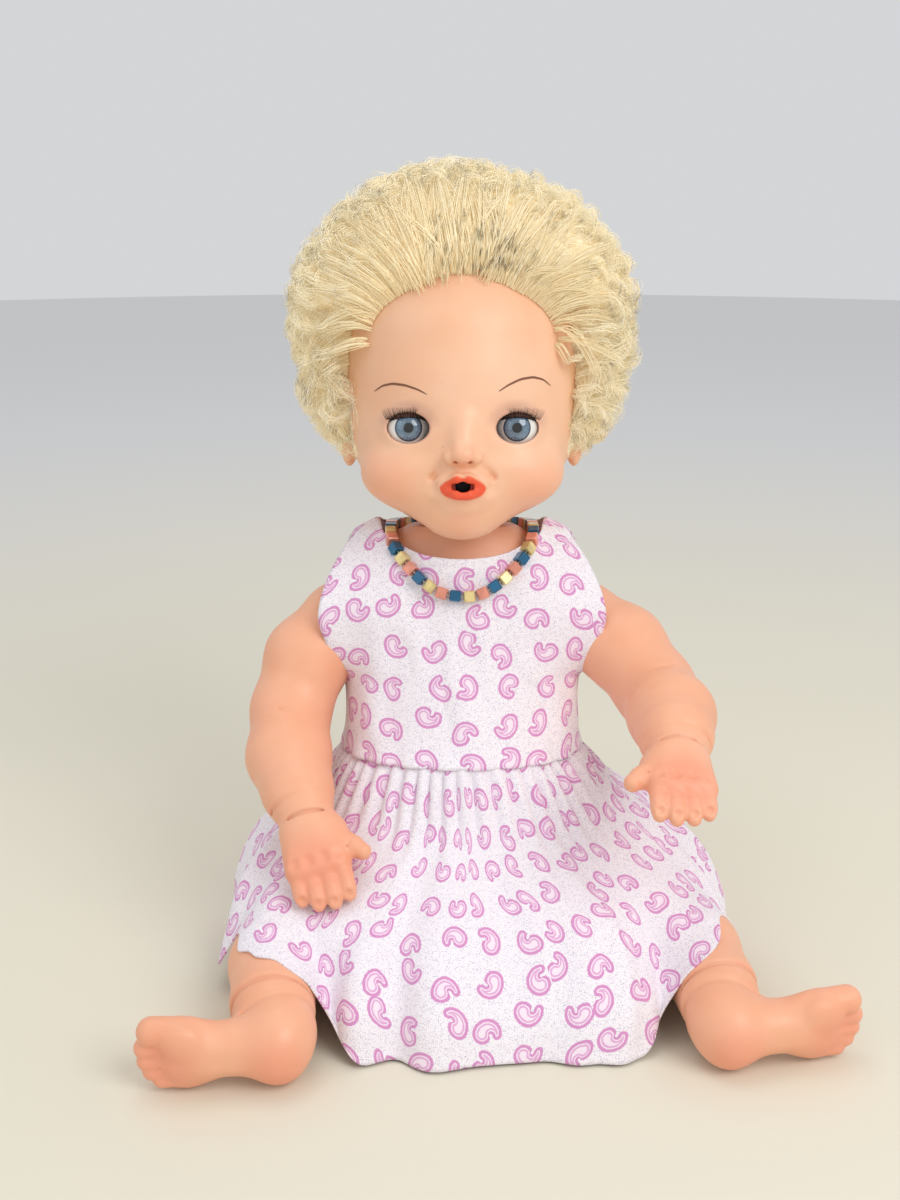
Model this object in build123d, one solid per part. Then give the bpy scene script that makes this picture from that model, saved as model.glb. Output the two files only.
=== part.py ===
"""Sitting baby doll, 20 inch class, with sleep eyes, rooted hair, a mouth switch and a battery voice unit.

Millimetres, +Z up, the doll faces -Y and its right hand is on -X. The origin is the middle of the flat seat.
The torso and head are drawn upright and then leaned back by LEAN; the limbs and the skirt are drawn as they lie.
"""

from build123d import *
import math
import os

# ---------------------------------------------------------------- driving sizes
LEAN = 9.0  # how far the trunk leans back
WALL = 3.0  # thickness of the vinyl and of the torso halves
GAP = 0.3  # running gap between parts that turn against each other
BIG = 1200.0  # half-space blocks

# Trunk outline, upright: height, half width, half depth, middle in Y
TORSO_RINGS = [
    (-12, 38, 36, 6), (14, 50, 50, 3), (45, 56, 54, -1), (80, 56, 51, -2), (120, 53, 43, 1),
    (150, 53, 38, 3), (174, 52, 36, 4), (190, 49, 33, 4), (201, 42, 29, 4), (207, 33, 27, 4), (210, 27, 26, 4),
]
TORSO_TOP = 210.0
SPLIT_Y = -4.0  # plane between the two torso halves
SEAT_FLOOR = 3.0  # thickness above the seat

# Head outline, upright, from the neck up
HEAD_RINGS = [
    (211, 24, 24, 4), (215, 34, 38, -3), (221, 43, 48, -5), (230, 49.5, 54, -4), (244, 54, 59, -2),
    (262, 56.5, 62, 0), (285, 57.5, 64, 2), (310, 56, 62, 3), (335, 47, 52, 4), (352, 33, 37, 5),
    (361, 16, 18, 5), (364, 5, 5, 5),
]
CHIN = (0, -40, 215, 11.5)  # ball that makes the chin
NECK_R, NECK_FLANGE_R = 18.0, 22.5
HAIR_MIDDLE, HAIR_HALF = (0, 12, 322), (94, 80, 75)
FACE_TOP, FACE_HALF_WIDTH = 326.0, 54.0  # hairline over the forehead and the face's half width
HAIR_LOW = 250.0

# Eyes: middle of each ball, its radius and the opening in the face
EYE_X, EYE_Y, EYE_Z, EYE_R = 25.5, -42.5, 260.0, 11.5
EYE_OPENING = (19.4, 14.0)  # width and height of the rounded slot
EYE_SOCKET_R, EYE_CUP_R, PIVOT_R = 11.9, 13.3, 1.0
IRIS_R, IRIS_DEPTH = 6.4, 3.4
LASH_ANGLE, LASH_REACH, LASH_WIDTH = 24.0, 2.5, 10.0
WEIGHT_BACK, WEIGHT_DOWN, WEIGHT_R = 8.5, 19.0, 5.0  # weight's place from the ball's middle

# Mouth: height, radius and front end of the bore
MOUTH_Z, MOUTH_R, MOUTH_FRONT = 233.0, 3.6, -61.5
MOUTH_TUBE_R, MOUTH_TUBE_LENGTH = 5.4, 16.0

# Right arm as it lies: centre points and radii from shoulder to wrist
SHOULDER, SHOULDER_R = (-62, 24, 158), 20.5
ARM_AXIS = (-0.89, 0.242, -0.387)  # points out of the body
ARM_INSET = 15.0  # from the shoulder ball's middle to the socket face
ARM_LINE = [((-62, 24, 158), 20.0), ((-79, 16, 141), 21.0), ((-87, 2, 118), 19.0),
            ((-86, -21, 102), 20.0), ((-80, -40, 92), 16.5), ((-74, -54, 83), 13.0)]
WRIST_HALVES, WRIST_OVERLAP = (11.0, 9.5), 4.0
PALM = [((-71.5, -61, 78.5), (15.5, 10.0)), ((-69, -69, 73), (17, 9.0)), ((-67.5, -75, 68), (16.5, 7.5))]
FINGERS = [(11.5, 15.5, 3.9), (4.2, 17.5, 4.1), (-3.4, 16.5, 4.0), (-10.4, 12.5, 3.6)]  # across, length, radius
FINGER_ROOT, FINGER_CURL = 5.0, 2.5
HAND_ACROSS = (0.97, 0.1, 0.2)  # across the hand towards the thumb
PALM_SIDE = (0.102, 0.599, -0.794)  # the way the palm faces
THUMB = ((-60, -63, 77), (-47, -69, 75), 4.4)
LEFT_ARM_RAISE = 28.0
COLLAR_R, COLLAR_DEPTH, ARM_ROOM_R = 22.0, 16.0, 27.0  # shoulder collar and the room cut round it

# Right leg as it lies: centre points and radii from hip to ankle
HIP, HIP_R = (-58, 4, 34), 28.0
LEG_AXIS = (-0.94, 0, -0.342)
LEG_INSET = 20.0
LEG_LINE = [((-58, 4, 34), 27.5), ((-70, -27, 31), 26.0), ((-80, -58, 27.5), 23.0),
            ((-87, -88, 25), 20.5), ((-86, -114, 22.5), 17.0), ((-81, -132, 20), 16.5)]
FOOT_RINGS = [(-66, 6, 6, -140), (-70, 13, 12, -140), (-80, 16.5, 15, -140), (-96, 15.5, 13, -141),
              (-112, 16, 11.5, -143), (-125, 16, 9.5, -144), (-132, 12.5, 6, -145)]
FOOT_Z = 18.0
TOE_Y = -145.0
TOES = [(-134.5, 30, 6.2), (-137, 22, 4.6), (-136.5, 15.5, 4.3), (-134.5, 10, 4.0), (-130.5, 5.6, 3.8)]
LEFT_LEG_YAW = 15.0
SOCKET_R, FLANGE_R, FLANGE_THICK = 12.0, 17.0, 2.5

# Dress: outside of the bodice as the trunk's rings; outline of the skirt at four heights with its squareness
CLOTH = 1.6
BODICE_RINGS = [
    (70, 61, 55, -1.5), (85, 60.5, 53.5, -1.5), (100, 60, 51, -0.5), (120, 59, 47, 1), (150, 60, 41.5, 3),
    (174, 62, 39.5, 4), (190, 59, 36.5, 4), (201, 51, 32.5, 4), (207, 44, 30.5, 4), (213, 33, 29.5, 4),
]
NECKLINE = (45, 37, 4.5)  # half width, half depth and middle in Y of the opening for the neck
ARMHOLE_R, ARMHOLE_DEPTH, ARMHOLE_FLARE = 24.5, 12.0, 0.8
WAIST, WAIST_HALF, WAIST_MIDDLE = 97.0, (58, 53), -1.0
SKIRT_RINGS = [(74, -80, 84, -60, 76, 2.0), (60, -97, 103, -80, 83, 2.2), (45, -111, 122, -104, 88, 2.8),
               (22, -119, 134, -126, 93, 2.8), (1, -121, 137, -135, 96, 2.7)]
SKIRT_POINTS = 16
ARCH_X, ARCH_Y, ARCH_HALF_WIDTH, ARCH_TOP = 83.0, -62.0, 30.0, 54.0  # opening in the skirt for each shin

# Necklace: bead size and step, and half of the loop from its lowest point round to the back
BEAD, BEAD_PITCH, BEAD_BORE, ELASTIC_R = 5.4, 6.7, 1.0, 0.4
NECKLACE = [(0, -39, 178), (11, -38, 180), (20, -35.6, 186), (27.5, -31, 193.5), (34, -24, 202.4),
            (36, -9.5, 208.8), (35.5, 6, 209.6), (30, 24, 209.2), (16, 34, 208.6), (0, 37.5, 208.4)]

# Voice unit
BATTERY_R, BATTERY_LENGTH = 7.1, 49.5
BOX_WIDTH, BOX_HEIGHT, BOX_DEPTH, BOX_WALL = 62.0, 48.0, 17.0, 1.6
BOX_Z, BOX_BACK, BOX_RIM = 62.0, 41.0, 3.0  # middle height, outside face in Y and the frame round it
SPEAKER_R, SPEAKER_Z = 20.0, 128.0
BOARD = (52.0, 34.0, 1.6)
BOARD_Z, BOARD_Y = 135.0, 18.0
SWITCH_X, SWITCH_Z, SWITCH_FACE = 24.0, 108.0, 39.5  # place of the power switch and the knob's outer face
SWITCH_TRAVEL = 4.0
WIRE_R = 0.7
SCREW_R, SCREW_HEAD_R, BOSS_R = 1.5, 2.9, 4.0
SCREW_SPOTS = [(-40, 82, 20), (40, 82, 20), (-30, 174, 22), (30, 174, 22)]  # across, height, depth of the head

parts = {}


# ---------------------------------------------------------------- helpers
def lean(shape):
    """From the upright drawing to the doll leaning back on its seat."""
    return Rot(X=-LEAN) * shape


def ellipse_ring(z, half_x, half_y, middle_y, pad=0.0):
    return Plane((0, middle_y, z)) * Ellipse(half_x + pad, half_y + pad)


def stack(rings, pad=0.0):
    """Smooth body through level ellipses."""
    return loft([ellipse_ring(*ring, pad=pad) for ring in rings])


def ball(middle, radius):
    return Pos(*middle) * Sphere(radius)


def ellipsoid(middle, halves):
    return Pos(*middle) * scale(Sphere(1), by=halves)


def half_space(point, normal):
    """Block that fills the side of a plane that its normal points to."""
    return Plane(point, z_dir=normal) * Pos(0, 0, BIG / 2) * Box(BIG, BIG, BIG)


def rod(start, end, radius):
    direction = Vector(*end) - Vector(*start)
    centre = Plane(start, z_dir=direction)
    return centre * Pos(0, 0, direction.length / 2) * Cylinder(radius, direction.length)


def finger(start, end, radius):
    return rod(start, end, radius) + ball(end, radius)


def tube_along(line, pad=0.0):
    """Smooth limb through round sections, each square to the line."""
    points = [Vector(*point) for point, _ in line]
    sections = []
    for i, (_, radius) in enumerate(line):
        before = points[max(i - 1, 0)]
        after = points[min(i + 1, len(points) - 1)]
        plane = Plane(points[i], x_dir=(1, 0, 0.001), z_dir=after - before)
        sections.append(plane * Circle(radius + pad))
    return loft(sections)


def turned(shape, point, axis, angle):
    return shape.rotate(Axis(point, axis), angle)


def along(point, axis, distance):
    """The point moved along an axis."""
    unit = Vector(*axis).normalized()
    return tuple(Vector(*point) + unit * distance)


def solid_of(shape):
    """The shape's largest solid, for booleans that leave a crumb."""
    return max(shape.solids(), key=lambda s: s.volume)


def leaning_group(shapes):
    """Several separate solids of one node, leaning with the trunk."""
    return Compound(children=[solid_of(lean(shape)) for shape in shapes])


# ---------------------------------------------------------------- limb ends
ARM_FACE = along(SHOULDER, ARM_AXIS, -ARM_INSET)
LEG_FACE = along(HIP, LEG_AXIS, -LEG_INSET)


def socket_plug(face, axis):
    """The neck and flange that turn in the torso's socket."""
    neck = rod(along(face, axis, -WALL - GAP - 1), along(face, axis, GAP + 6), SOCKET_R - GAP)
    flange = rod(along(face, axis, -WALL - GAP - FLANGE_THICK), along(face, axis, -WALL - GAP), FLANGE_R)
    return neck + flange


def joint_ball(middle, axis, radius):
    """Ball with its poles on the joint's axis."""
    return Plane(middle, z_dir=axis) * Sphere(radius)


def finish_limb(outline, inside, face, axis):
    """Cuts a limb flat at its socket, adds its plug and hollows it out."""
    bore_r = SOCKET_R - GAP - WALL
    solid = (outline & half_space(along(face, axis, GAP), axis)) + socket_plug(face, axis)
    room = inside & half_space(along(face, axis, GAP + WALL), axis)
    bore = rod(along(face, axis, -WALL - GAP - FLANGE_THICK - 1), along(face, axis, GAP + 8), bore_r)
    return solid_of(solid_of(solid) - room - bore)


def left_of(vector):
    return (-vector[0], vector[1], vector[2])


def mover(side):
    """Takes a point or direction of the right side to the side wanted, -1 right or 1 left."""
    return left_of if side > 0 else tuple


def hand(there):
    """Palm, fingers and thumb; the direction across the hand runs towards the thumb."""
    wrist, knuckles = Vector(*there(ARM_LINE[-1][0])), Vector(*there(PALM[-1][0]))
    down = (knuckles - wrist).normalized()
    across = Vector(*there(HAND_ACROSS))
    across = (across - down * across.dot(down)).normalized()
    palm_side = Vector(*there(PALM_SIDE))
    sections = [(tuple(wrist - down * WRIST_OVERLAP), WRIST_HALVES)]
    sections = sections + [(there(point), halves) for point, halves in PALM]
    shape = loft([Plane(point, x_dir=across, z_dir=down) * Ellipse(*halves) for point, halves in sections])
    for offset, length, radius in FINGERS:
        root = knuckles + across * offset - down * FINGER_ROOT
        middle = root + down * (FINGER_ROOT + length * 0.55) + palm_side
        tip = middle + down * (length * 0.42) + palm_side * FINGER_CURL
        shape = shape + finger(tuple(root), tuple(middle), radius) + finger(tuple(middle), tuple(tip), radius * 0.93)
    start, end, radius = THUMB
    return shape + finger(there(start), there(end), radius)


def arm_on(side, lift):
    """One arm, lifted by turning it in its shoulder."""
    there = mover(side)
    line = [(there(point), radius) for point, radius in ARM_LINE]
    middle, axis = there(SHOULDER), there(ARM_AXIS)
    shape = tube_along(line) + joint_ball(middle, axis, SHOULDER_R) + hand(there)
    inside = tube_along(line, -WALL) + joint_ball(middle, axis, SHOULDER_R - WALL)
    arm = finish_limb(shape, inside, there(ARM_FACE), axis)
    return turned(arm, middle, axis, -side * lift)


def leg_on(side, yaw):
    """One leg, splayed by yaw about its hip; its plug keeps to the socket's own axis."""
    there = mover(side)
    line = [(there(point), radius) for point, radius in LEG_LINE]
    foot = loft([Plane(there((x, y, FOOT_Z)), x_dir=(0, 0, 1), z_dir=(side, 0, 0)) * Ellipse(half_z, half_y)
                 for x, half_z, half_y, y in FOOT_RINGS])
    shape = tube_along(line) + foot
    for x, z, radius in TOES:
        shape = shape + ball(there((x, TOE_Y, z)), radius)
    middle, axis = there(HIP), there(LEG_AXIS)
    shape = turned(shape, middle, (0, 0, 1), side * yaw) + joint_ball(middle, axis, HIP_R)
    inside = turned(tube_along(line, -WALL), middle, (0, 0, 1), side * yaw) + joint_ball(middle, axis, HIP_R - WALL)
    return finish_limb(shape & half_space((0, 0, 0), (0, 0, 1)), inside, there(LEG_FACE), axis)


def make_limbs():
    parts["right_arm"] = arm_on(-1, 0)
    parts["left_arm"] = arm_on(1, LEFT_ARM_RAISE)
    parts["right_leg"] = leg_on(-1, 0)
    parts["left_leg"] = leg_on(1, LEFT_LEG_YAW)


# ---------------------------------------------------------------- torso
def both_sides(face, axis):
    return [(face, axis), (left_of(face), left_of(axis))]


def trunk(pad, inset):
    """The torso's outline, leaning, flat at the hips and with a collar and a flat at each shoulder."""
    body = lean(stack(TORSO_RINGS, pad))
    for face, axis in both_sides(LEG_FACE, LEG_AXIS):
        body = body - half_space(along(face, axis, -inset), axis)
    for face, axis in both_sides(ARM_FACE, ARM_AXIS):
        body = body + rod(along(face, axis, -COLLAR_DEPTH - inset), along(face, axis, -inset), COLLAR_R + pad)
        body = body - rod(along(face, axis, -inset), along(face, axis, 60), ARM_ROOM_R + inset)
    return body


def make_torso():
    outer = trunk(0, 0) & half_space((0, 0, 0), (0, 0, 1))
    inner = trunk(-WALL, WALL) & half_space((0, 0, SEAT_FLOOR), (0, 0, 1))
    inner = inner & lean(half_space((0, 0, TORSO_TOP - WALL), (0, 0, -1)))
    shell = outer - inner
    for face, axis in both_sides(ARM_FACE, ARM_AXIS) + both_sides(LEG_FACE, LEG_AXIS):
        shell = shell - rod(along(face, axis, -WALL - 6), along(face, axis, 2), SOCKET_R)
    shell = shell - lean(Pos(0, 4, TORSO_TOP) * Cylinder(NECK_R, 4 * WALL))
    rim = Pos(0, BOX_BACK, BOX_Z) * Box(BOX_WIDTH + 2 * BOX_RIM, 8, BOX_HEIGHT + 2 * BOX_RIM)
    shell = shell + lean(rim)
    for x, z, _ in SCREW_SPOTS:
        shell = shell + (lean(rod((x, -60, z), (x, 60, z), BOSS_R)) & outer)
    for x, z, head_depth in SCREW_SPOTS:
        shell = shell - lean(rod((x, -24, z), (x, 80, z), SCREW_R + 0.1))
        shell = shell - lean(rod((x, head_depth, z), (x, 80, z), SCREW_HEAD_R + 0.2))
    # The battery box's window in the back, the grille in the chest and the window of the power switch
    shell = shell - lean(Pos(0, 50, BOX_Z) * Box(BOX_WIDTH + 0.4, 60, BOX_HEIGHT + 0.4))
    for x in (-12, -6, 0, 6, 12):
        for z in (-12, -6, 0, 6, 12):
            if math.hypot(x, z) < 14:
                shell = shell - lean(rod((x, -60, SPEAKER_Z + z), (x, -20, SPEAKER_Z + z), 1.3))
    shell = shell - lean(Pos(SWITCH_X, 45, SWITCH_Z) * Box(9.0, 30, 4.2))
    parts["torso_front_shell"] = solid_of(shell & lean(half_space((0, SPLIT_Y, 0), (0, -1, 0))))
    parts["torso_back_shell"] = solid_of(shell & lean(half_space((0, SPLIT_Y, 0), (0, 1, 0))))
    screws = []
    for x, z, head_depth in SCREW_SPOTS:
        screw = rod((x, -16, z), (x, head_depth, z), SCREW_R)
        screw = screw + rod((x, head_depth, z), (x, head_depth + 2.2, z), SCREW_HEAD_R)
        screws.append(screw - Pos(x, head_depth + 2.2, z) * Box(4, 2, 0.8))
    parts["torso_screws"] = leaning_group(screws)


# ---------------------------------------------------------------- voice unit
def make_voice_unit():
    front = BOX_BACK - BOX_DEPTH
    tray = Pos(0, BOX_BACK - BOX_DEPTH / 2, BOX_Z) * Box(BOX_WIDTH, BOX_DEPTH, BOX_HEIGHT)
    room = Pos(0, BOX_BACK - BOX_DEPTH / 2 + BOX_WALL, BOX_Z) * Box(
        BOX_WIDTH - 2 * BOX_WALL, BOX_DEPTH, BOX_HEIGHT - 2 * BOX_WALL)
    parts["battery_box"] = lean(solid_of(tray - room))
    cells = []
    for row in (-1, 0, 1):
        z = BOX_Z + row * (2 * BATTERY_R + 0.5)
        y = front + BOX_WALL + BATTERY_R + 0.1
        side = 1 if row else -1
        cell = rod((-BATTERY_LENGTH / 2, y, z), (BATTERY_LENGTH / 2, y, z), BATTERY_R)
        nub = rod((side * BATTERY_LENGTH / 2, y, z), (side * (BATTERY_LENGTH / 2 + 1.2), y, z), 2.7)
        cells.append(solid_of(cell + nub))
    parts["batteries"] = leaning_group(cells)
    contact_x = BOX_WIDTH / 2 - BOX_WALL - 0.3
    plates = [Pos(side * contact_x, front + BOX_WALL + BATTERY_R, BOX_Z) * Box(0.5, 10, 38) for side in (-1, 1)]
    parts["battery_contacts"] = leaning_group(plates)
    door = Pos(0, BOX_BACK + 1.2, BOX_Z) * Box(BOX_WIDTH - 0.6, 2.0, BOX_HEIGHT - 0.6)
    door = fillet(door.edges().filter_by(Axis.Y), 3)
    screw_y = BOX_BACK + 2.2
    door = door - rod((0, screw_y - 4, BOX_Z + 19), (0, screw_y + 1, BOX_Z + 19), 1.4)
    parts["battery_door"] = lean(solid_of(door))
    screw = rod((0, screw_y - 1.9, BOX_Z + 19), (0, screw_y, BOX_Z + 19), 1.2)
    screw = screw + rod((0, screw_y, BOX_Z + 19), (0, screw_y + 1.0, BOX_Z + 19), 2.4)
    parts["battery_door_screw"] = lean(solid_of(screw - Pos(0, screw_y + 1.0, BOX_Z + 19) * Box(3.4, 1, 0.7)))
    # Loudspeaker behind the grille
    basket = Pos(0, -22, SPEAKER_Z) * Rot(X=90) * Cylinder(SPEAKER_R, 10)
    basket = basket - Pos(0, -23.5, SPEAKER_Z) * Rot(X=90) * Cylinder(SPEAKER_R - 1.5, 10)
    basket = basket - Pos(0, -18, SPEAKER_Z) * Rot(X=90) * Cylinder(7.1, 12)
    parts["speaker_basket"] = lean(solid_of(basket))
    cone = Pos(0, -23, SPEAKER_Z) * Rot(X=90) * Cone(6.0, SPEAKER_R - 1.8, 6.0)
    cone = cone - Pos(0, -23.8, SPEAKER_Z) * Rot(X=90) * Cone(5.4, SPEAKER_R - 2.2, 6.0)
    parts["speaker_cone"] = lean(solid_of(cone))
    parts["speaker_magnet"] = lean(Pos(0, -13.8, SPEAKER_Z) * Rot(X=90) * Cylinder(10, 6))
    # Circuit board with its chip, capacitor and the power switch
    parts["circuit_board"] = lean(Pos(0, BOARD_Y, BOARD_Z) * Box(BOARD[0], BOARD[2], BOARD[1]))
    face = BOARD_Y - BOARD[2] / 2
    chip = Pos(-8, face - 1.25, BOARD_Z) * Box(14, 2.5, 14)
    capacitor = rod((12, face, BOARD_Z + 7), (12, face - 9, BOARD_Z + 7), 3.2)
    crystal = Pos(12, face - 1.5, BOARD_Z - 8) * Box(10, 3, 4)
    parts["board_components"] = leaning_group([chip, capacitor, crystal])
    housing = Pos(SWITCH_X, SWITCH_FACE - 9, SWITCH_Z) * Box(14, 5, 8)
    housing = housing - Pos(SWITCH_X, SWITCH_FACE - 7, SWITCH_Z) * Box(9.0, 4, 4.2)
    parts["power_switch_housing"] = lean(solid_of(housing))
    knob = Pos(SWITCH_X - SWITCH_TRAVEL / 2, SWITCH_FACE - 4, SWITCH_Z) * Box(4.4, 8.0, 3.6)
    parts["power_switch_knob"] = lean(fillet(knob.edges().filter_by(Axis.Y), 0.6))
    wires = []
    for x in (-12, -9):
        low, high = (x, front + 3, BOX_Z + BOX_HEIGHT / 2), (x, front + 3, BOARD_Z - 12)
        end = (x, BOARD_Y + BOARD[2] / 2, BOARD_Z - 12)
        wires.append(rod(low, high, WIRE_R) + ball(high, WIRE_R) + rod(high, end, WIRE_R))
    for x in (3, 7):
        wires.append(rod((x, -10.8, SPEAKER_Z + 6), (x, face, SPEAKER_Z + 6), WIRE_R))
    parts["voice_wires"] = leaning_group(wires)


# ---------------------------------------------------------------- head
def head_outline(pad=0.0):
    skull = stack(HEAD_RINGS, pad)
    chin = ball(CHIN[:3], CHIN[3] + pad)
    return skull + chin


def make_head():
    outer = head_outline()
    for side in (-1, 1):
        cheek = ellipsoid((side * 26, -34, 234), (23, 20, 19))
        ear = ellipsoid((side * 56.5, 6, 254), (4.5, 8, 14))
        outer = outer + cheek + ear
    outer = outer + ellipsoid((0, -61.5, 246), (8.5, 7, 6.5)) + ellipsoid((0, -57.5, 234), (11, 6.5, 7.5))
    inner = stack([(z, half_x, half_y, y) for z, half_x, half_y, y in HEAD_RINGS[1:-1]], -WALL)
    inner = inner & half_space((0, 0, HEAD_RINGS[1][0] + WALL), (0, 0, 1))
    shell = outer - inner
    for side in (-1, 1):
        middle = (side * EYE_X, EYE_Y, EYE_Z)
        opening = Plane((side * EYE_X, EYE_Y, EYE_Z), x_dir=(1, 0, 0), z_dir=(0, -1, 0)) * SlotOverall(*EYE_OPENING)
        recess = ball(middle, EYE_CUP_R + 0.2) & half_space((0, EYE_Y - 3.0, 0), (0, 1, 0))
        shell = shell - ball(middle, EYE_SOCKET_R) - extrude(opening, 30) - recess
    shell = shell - rod((0, MOUTH_FRONT - 12, MOUTH_Z), (0, MOUTH_FRONT + 22, MOUTH_Z), MOUTH_TUBE_R)
    shell = shell - Pos(0, 4, 212) * Cylinder(NECK_R - GAP - WALL, 30)
    plug = Pos(0, 4, 208) * Cylinder(NECK_R - GAP, 8)
    plug = plug + Pos(0, 4, TORSO_TOP - WALL - 1.95) * Cylinder(NECK_FLANGE_R, 2.5)
    plug = plug - Pos(0, 4, 208) * Cylinder(NECK_R - GAP - WALL, 30)
    parts["head_shell"] = lean(solid_of(shell + plug))
    hair = ellipsoid(HAIR_MIDDLE, HAIR_HALF) - head_outline(0.8)
    for side in (-1, 1):
        hair = hair - ellipsoid((side * 56.5, 6, 254), (5.5, 9.5, 15))
    window = Pos(0, -100, FACE_TOP - 60) * Box(2 * FACE_HALF_WIDTH, 200, 120)
    window = fillet(window.edges().filter_by(Axis.Y), 24)
    hair = hair - window - half_space((0, 0, HAIR_LOW), (0, 0, -1))
    parts["rooted_hair"] = lean(solid_of(hair))


def make_eye(side, name):
    middle = (side * EYE_X, EYE_Y, EYE_Z)
    sphere = ball(middle, EYE_R)
    front = Plane((side * EYE_X, EYE_Y - EYE_R, EYE_Z), z_dir=(0, 1, 0))
    pivot = (1, 0, 0)
    bore = rod(along(middle, pivot, -EYE_R - 1), along(middle, pivot, EYE_R + 1), PIVOT_R + 0.05)
    back_cut = Pos(side * EYE_X, EYE_Y + 16, EYE_Z) * Box(60, 20, 60)
    recess = front * Cylinder(IRIS_R, 2 * IRIS_DEPTH)
    parts[name + "_eyeball"] = lean(solid_of(sphere - recess - bore - back_cut))
    disc = front * Pos(0, 0, IRIS_DEPTH - 0.4) * Cylinder(IRIS_R - 0.02, 0.8)
    parts[name + "_iris"] = lean(disc)
    lens = sphere & (front * Cylinder(IRIS_R - 0.02, 2 * (IRIS_DEPTH - 0.8)))
    parts[name + "_eye_lens"] = lean(solid_of(lens))
    # Lash comb: a thin strip that stands out of the lid's edge
    strip = ball(middle, EYE_R + LASH_REACH) - ball(middle, EYE_R + 0.02)
    slab = Pos(side * EYE_X, EYE_Y - EYE_R, EYE_Z) * Box(LASH_WIDTH, 14, 0.5)
    slab = turned(slab, middle, pivot, -LASH_ANGLE)
    parts[name + "_lashes"] = lean(solid_of(strip & slab))
    heavy = (side * EYE_X, EYE_Y + WEIGHT_BACK, EYE_Z - WEIGHT_DOWN)
    weight = rod((side * EYE_X, EYE_Y + 4, EYE_Z - 3), heavy, 1.6) + ball(heavy, WEIGHT_R)
    parts[name + "_eye_weight"] = lean(solid_of(weight - ball(middle, EYE_R + 0.02)))
    # Housing: a cup behind the ball, open at the bottom for the weight, with the pivot pin across it
    cup = ball(middle, EYE_CUP_R) - ball(middle, EYE_SOCKET_R)
    cup = cup & half_space((0, EYE_Y - 2.8, 0), (0, 1, 0))
    cup = cup - Pos(side * EYE_X, EYE_Y + 10, EYE_Z - 8) * Box(12.4, 60, 26)
    reach = EYE_CUP_R - 0.7
    pin = rod(along(middle, pivot, -reach), along(middle, pivot, reach), PIVOT_R)
    parts[name + "_eye_housing"] = lean(solid_of(cup + pin))


def make_mouth():
    start = MOUTH_FRONT
    tube = rod((0, start, MOUTH_Z), (0, start + MOUTH_TUBE_LENGTH, MOUTH_Z), MOUTH_TUBE_R)
    tube = tube - rod((0, start - 1, MOUTH_Z), (0, start + MOUTH_TUBE_LENGTH + 1, MOUTH_Z), MOUTH_R)
    parts["mouth_tube"] = lean(solid_of(tube))
    end = start + MOUTH_TUBE_LENGTH
    body = Pos(0, end + 7, MOUTH_Z) * Box(16, 14, 12)
    body = body - rod((0, end - 1, MOUTH_Z), (0, end + 11, MOUTH_Z), MOUTH_R + 0.3)
    parts["mouth_switch_body"] = lean(solid_of(body))
    plunger = rod((0, end + 0.3, MOUTH_Z), (0, end + 6.3, MOUTH_Z), MOUTH_R - 0.25)
    parts["mouth_plunger"] = lean(plunger)
    turns = [Pos(0, end + 7.0 + 1.2 * k, MOUTH_Z) * Rot(X=90) * Torus(2.5, 0.35) for k in range(3)]
    parts["mouth_spring"] = leaning_group(turns)


# ---------------------------------------------------------------- clothes
def make_bodice():
    body = stack(BODICE_RINGS) & half_space((0, 0, WAIST), (0, 0, 1)) & half_space((0, 0, TORSO_TOP + 1), (0, 0, -1))
    body = body - stack(BODICE_RINGS, -CLOTH)
    half_width, half_depth, middle = NECKLINE
    body = body - Pos(0, middle, TORSO_TOP) * scale(Cylinder(1, 80), by=(half_width, half_depth, 1))
    body = lean(body)
    for face, axis in both_sides(ARM_FACE, ARM_AXIS):
        flare = Plane(along(face, axis, ARMHOLE_DEPTH + 20), z_dir=axis)
        body = body - rod(along(face, axis, -COLLAR_DEPTH - 2), along(face, axis, ARMHOLE_DEPTH), ARMHOLE_R)
        body = body - flare * Cone(ARMHOLE_R, ARMHOLE_R + 40 * ARMHOLE_FLARE, 40)
    parts["dress_bodice"] = solid_of(body)


def skirt_ring(z, left, right, front, back, power, pad=0.0):
    """Level closed outline with full corners."""
    middle = ((left + right) / 2, (front + back) / 2)
    half = ((right - left) / 2 + pad, (back - front) / 2 + pad)
    points = []
    for i in range(SKIRT_POINTS):
        angle = 2 * math.pi * i / SKIRT_POINTS
        cosine, sine = math.cos(angle), math.sin(angle)
        x = middle[0] + half[0] * math.copysign(abs(cosine) ** (2 / power), cosine)
        y = middle[1] + half[1] * math.copysign(abs(sine) ** (2 / power), sine)
        points.append((x, y, z))
    return make_face(Spline(*points, periodic=True))


def waist_ring(pad):
    half_x, half_y = WAIST_HALF
    return lean(Plane((0, WAIST_MIDDLE, WAIST - 0.3)) * Ellipse(half_x + pad, half_y + pad))


def make_skirt():
    body = loft([waist_ring(0)] + [skirt_ring(*ring) for ring in SKIRT_RINGS])
    body = body - loft([waist_ring(-CLOTH)] + [skirt_ring(*ring, pad=-CLOTH) for ring in SKIRT_RINGS])
    crown = ARCH_TOP - ARCH_HALF_WIDTH
    profile = Pos(0, crown - 60) * Rectangle(2 * ARCH_HALF_WIDTH, 120) + Pos(0, crown) * Circle(ARCH_HALF_WIDTH)
    for side, heading in ((-1, 0.0), (1, LEFT_LEG_YAW)):
        plane = Plane((side * ARCH_X, ARCH_Y, 0), x_dir=(1, 0, 0), z_dir=(0, -1, 0))
        arch = turned(extrude(plane * profile, 110), (-side * HIP[0], HIP[1], 0), (0, 0, 1), heading)
        body = body - arch
    parts["dress_skirt"] = solid_of(body)


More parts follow.
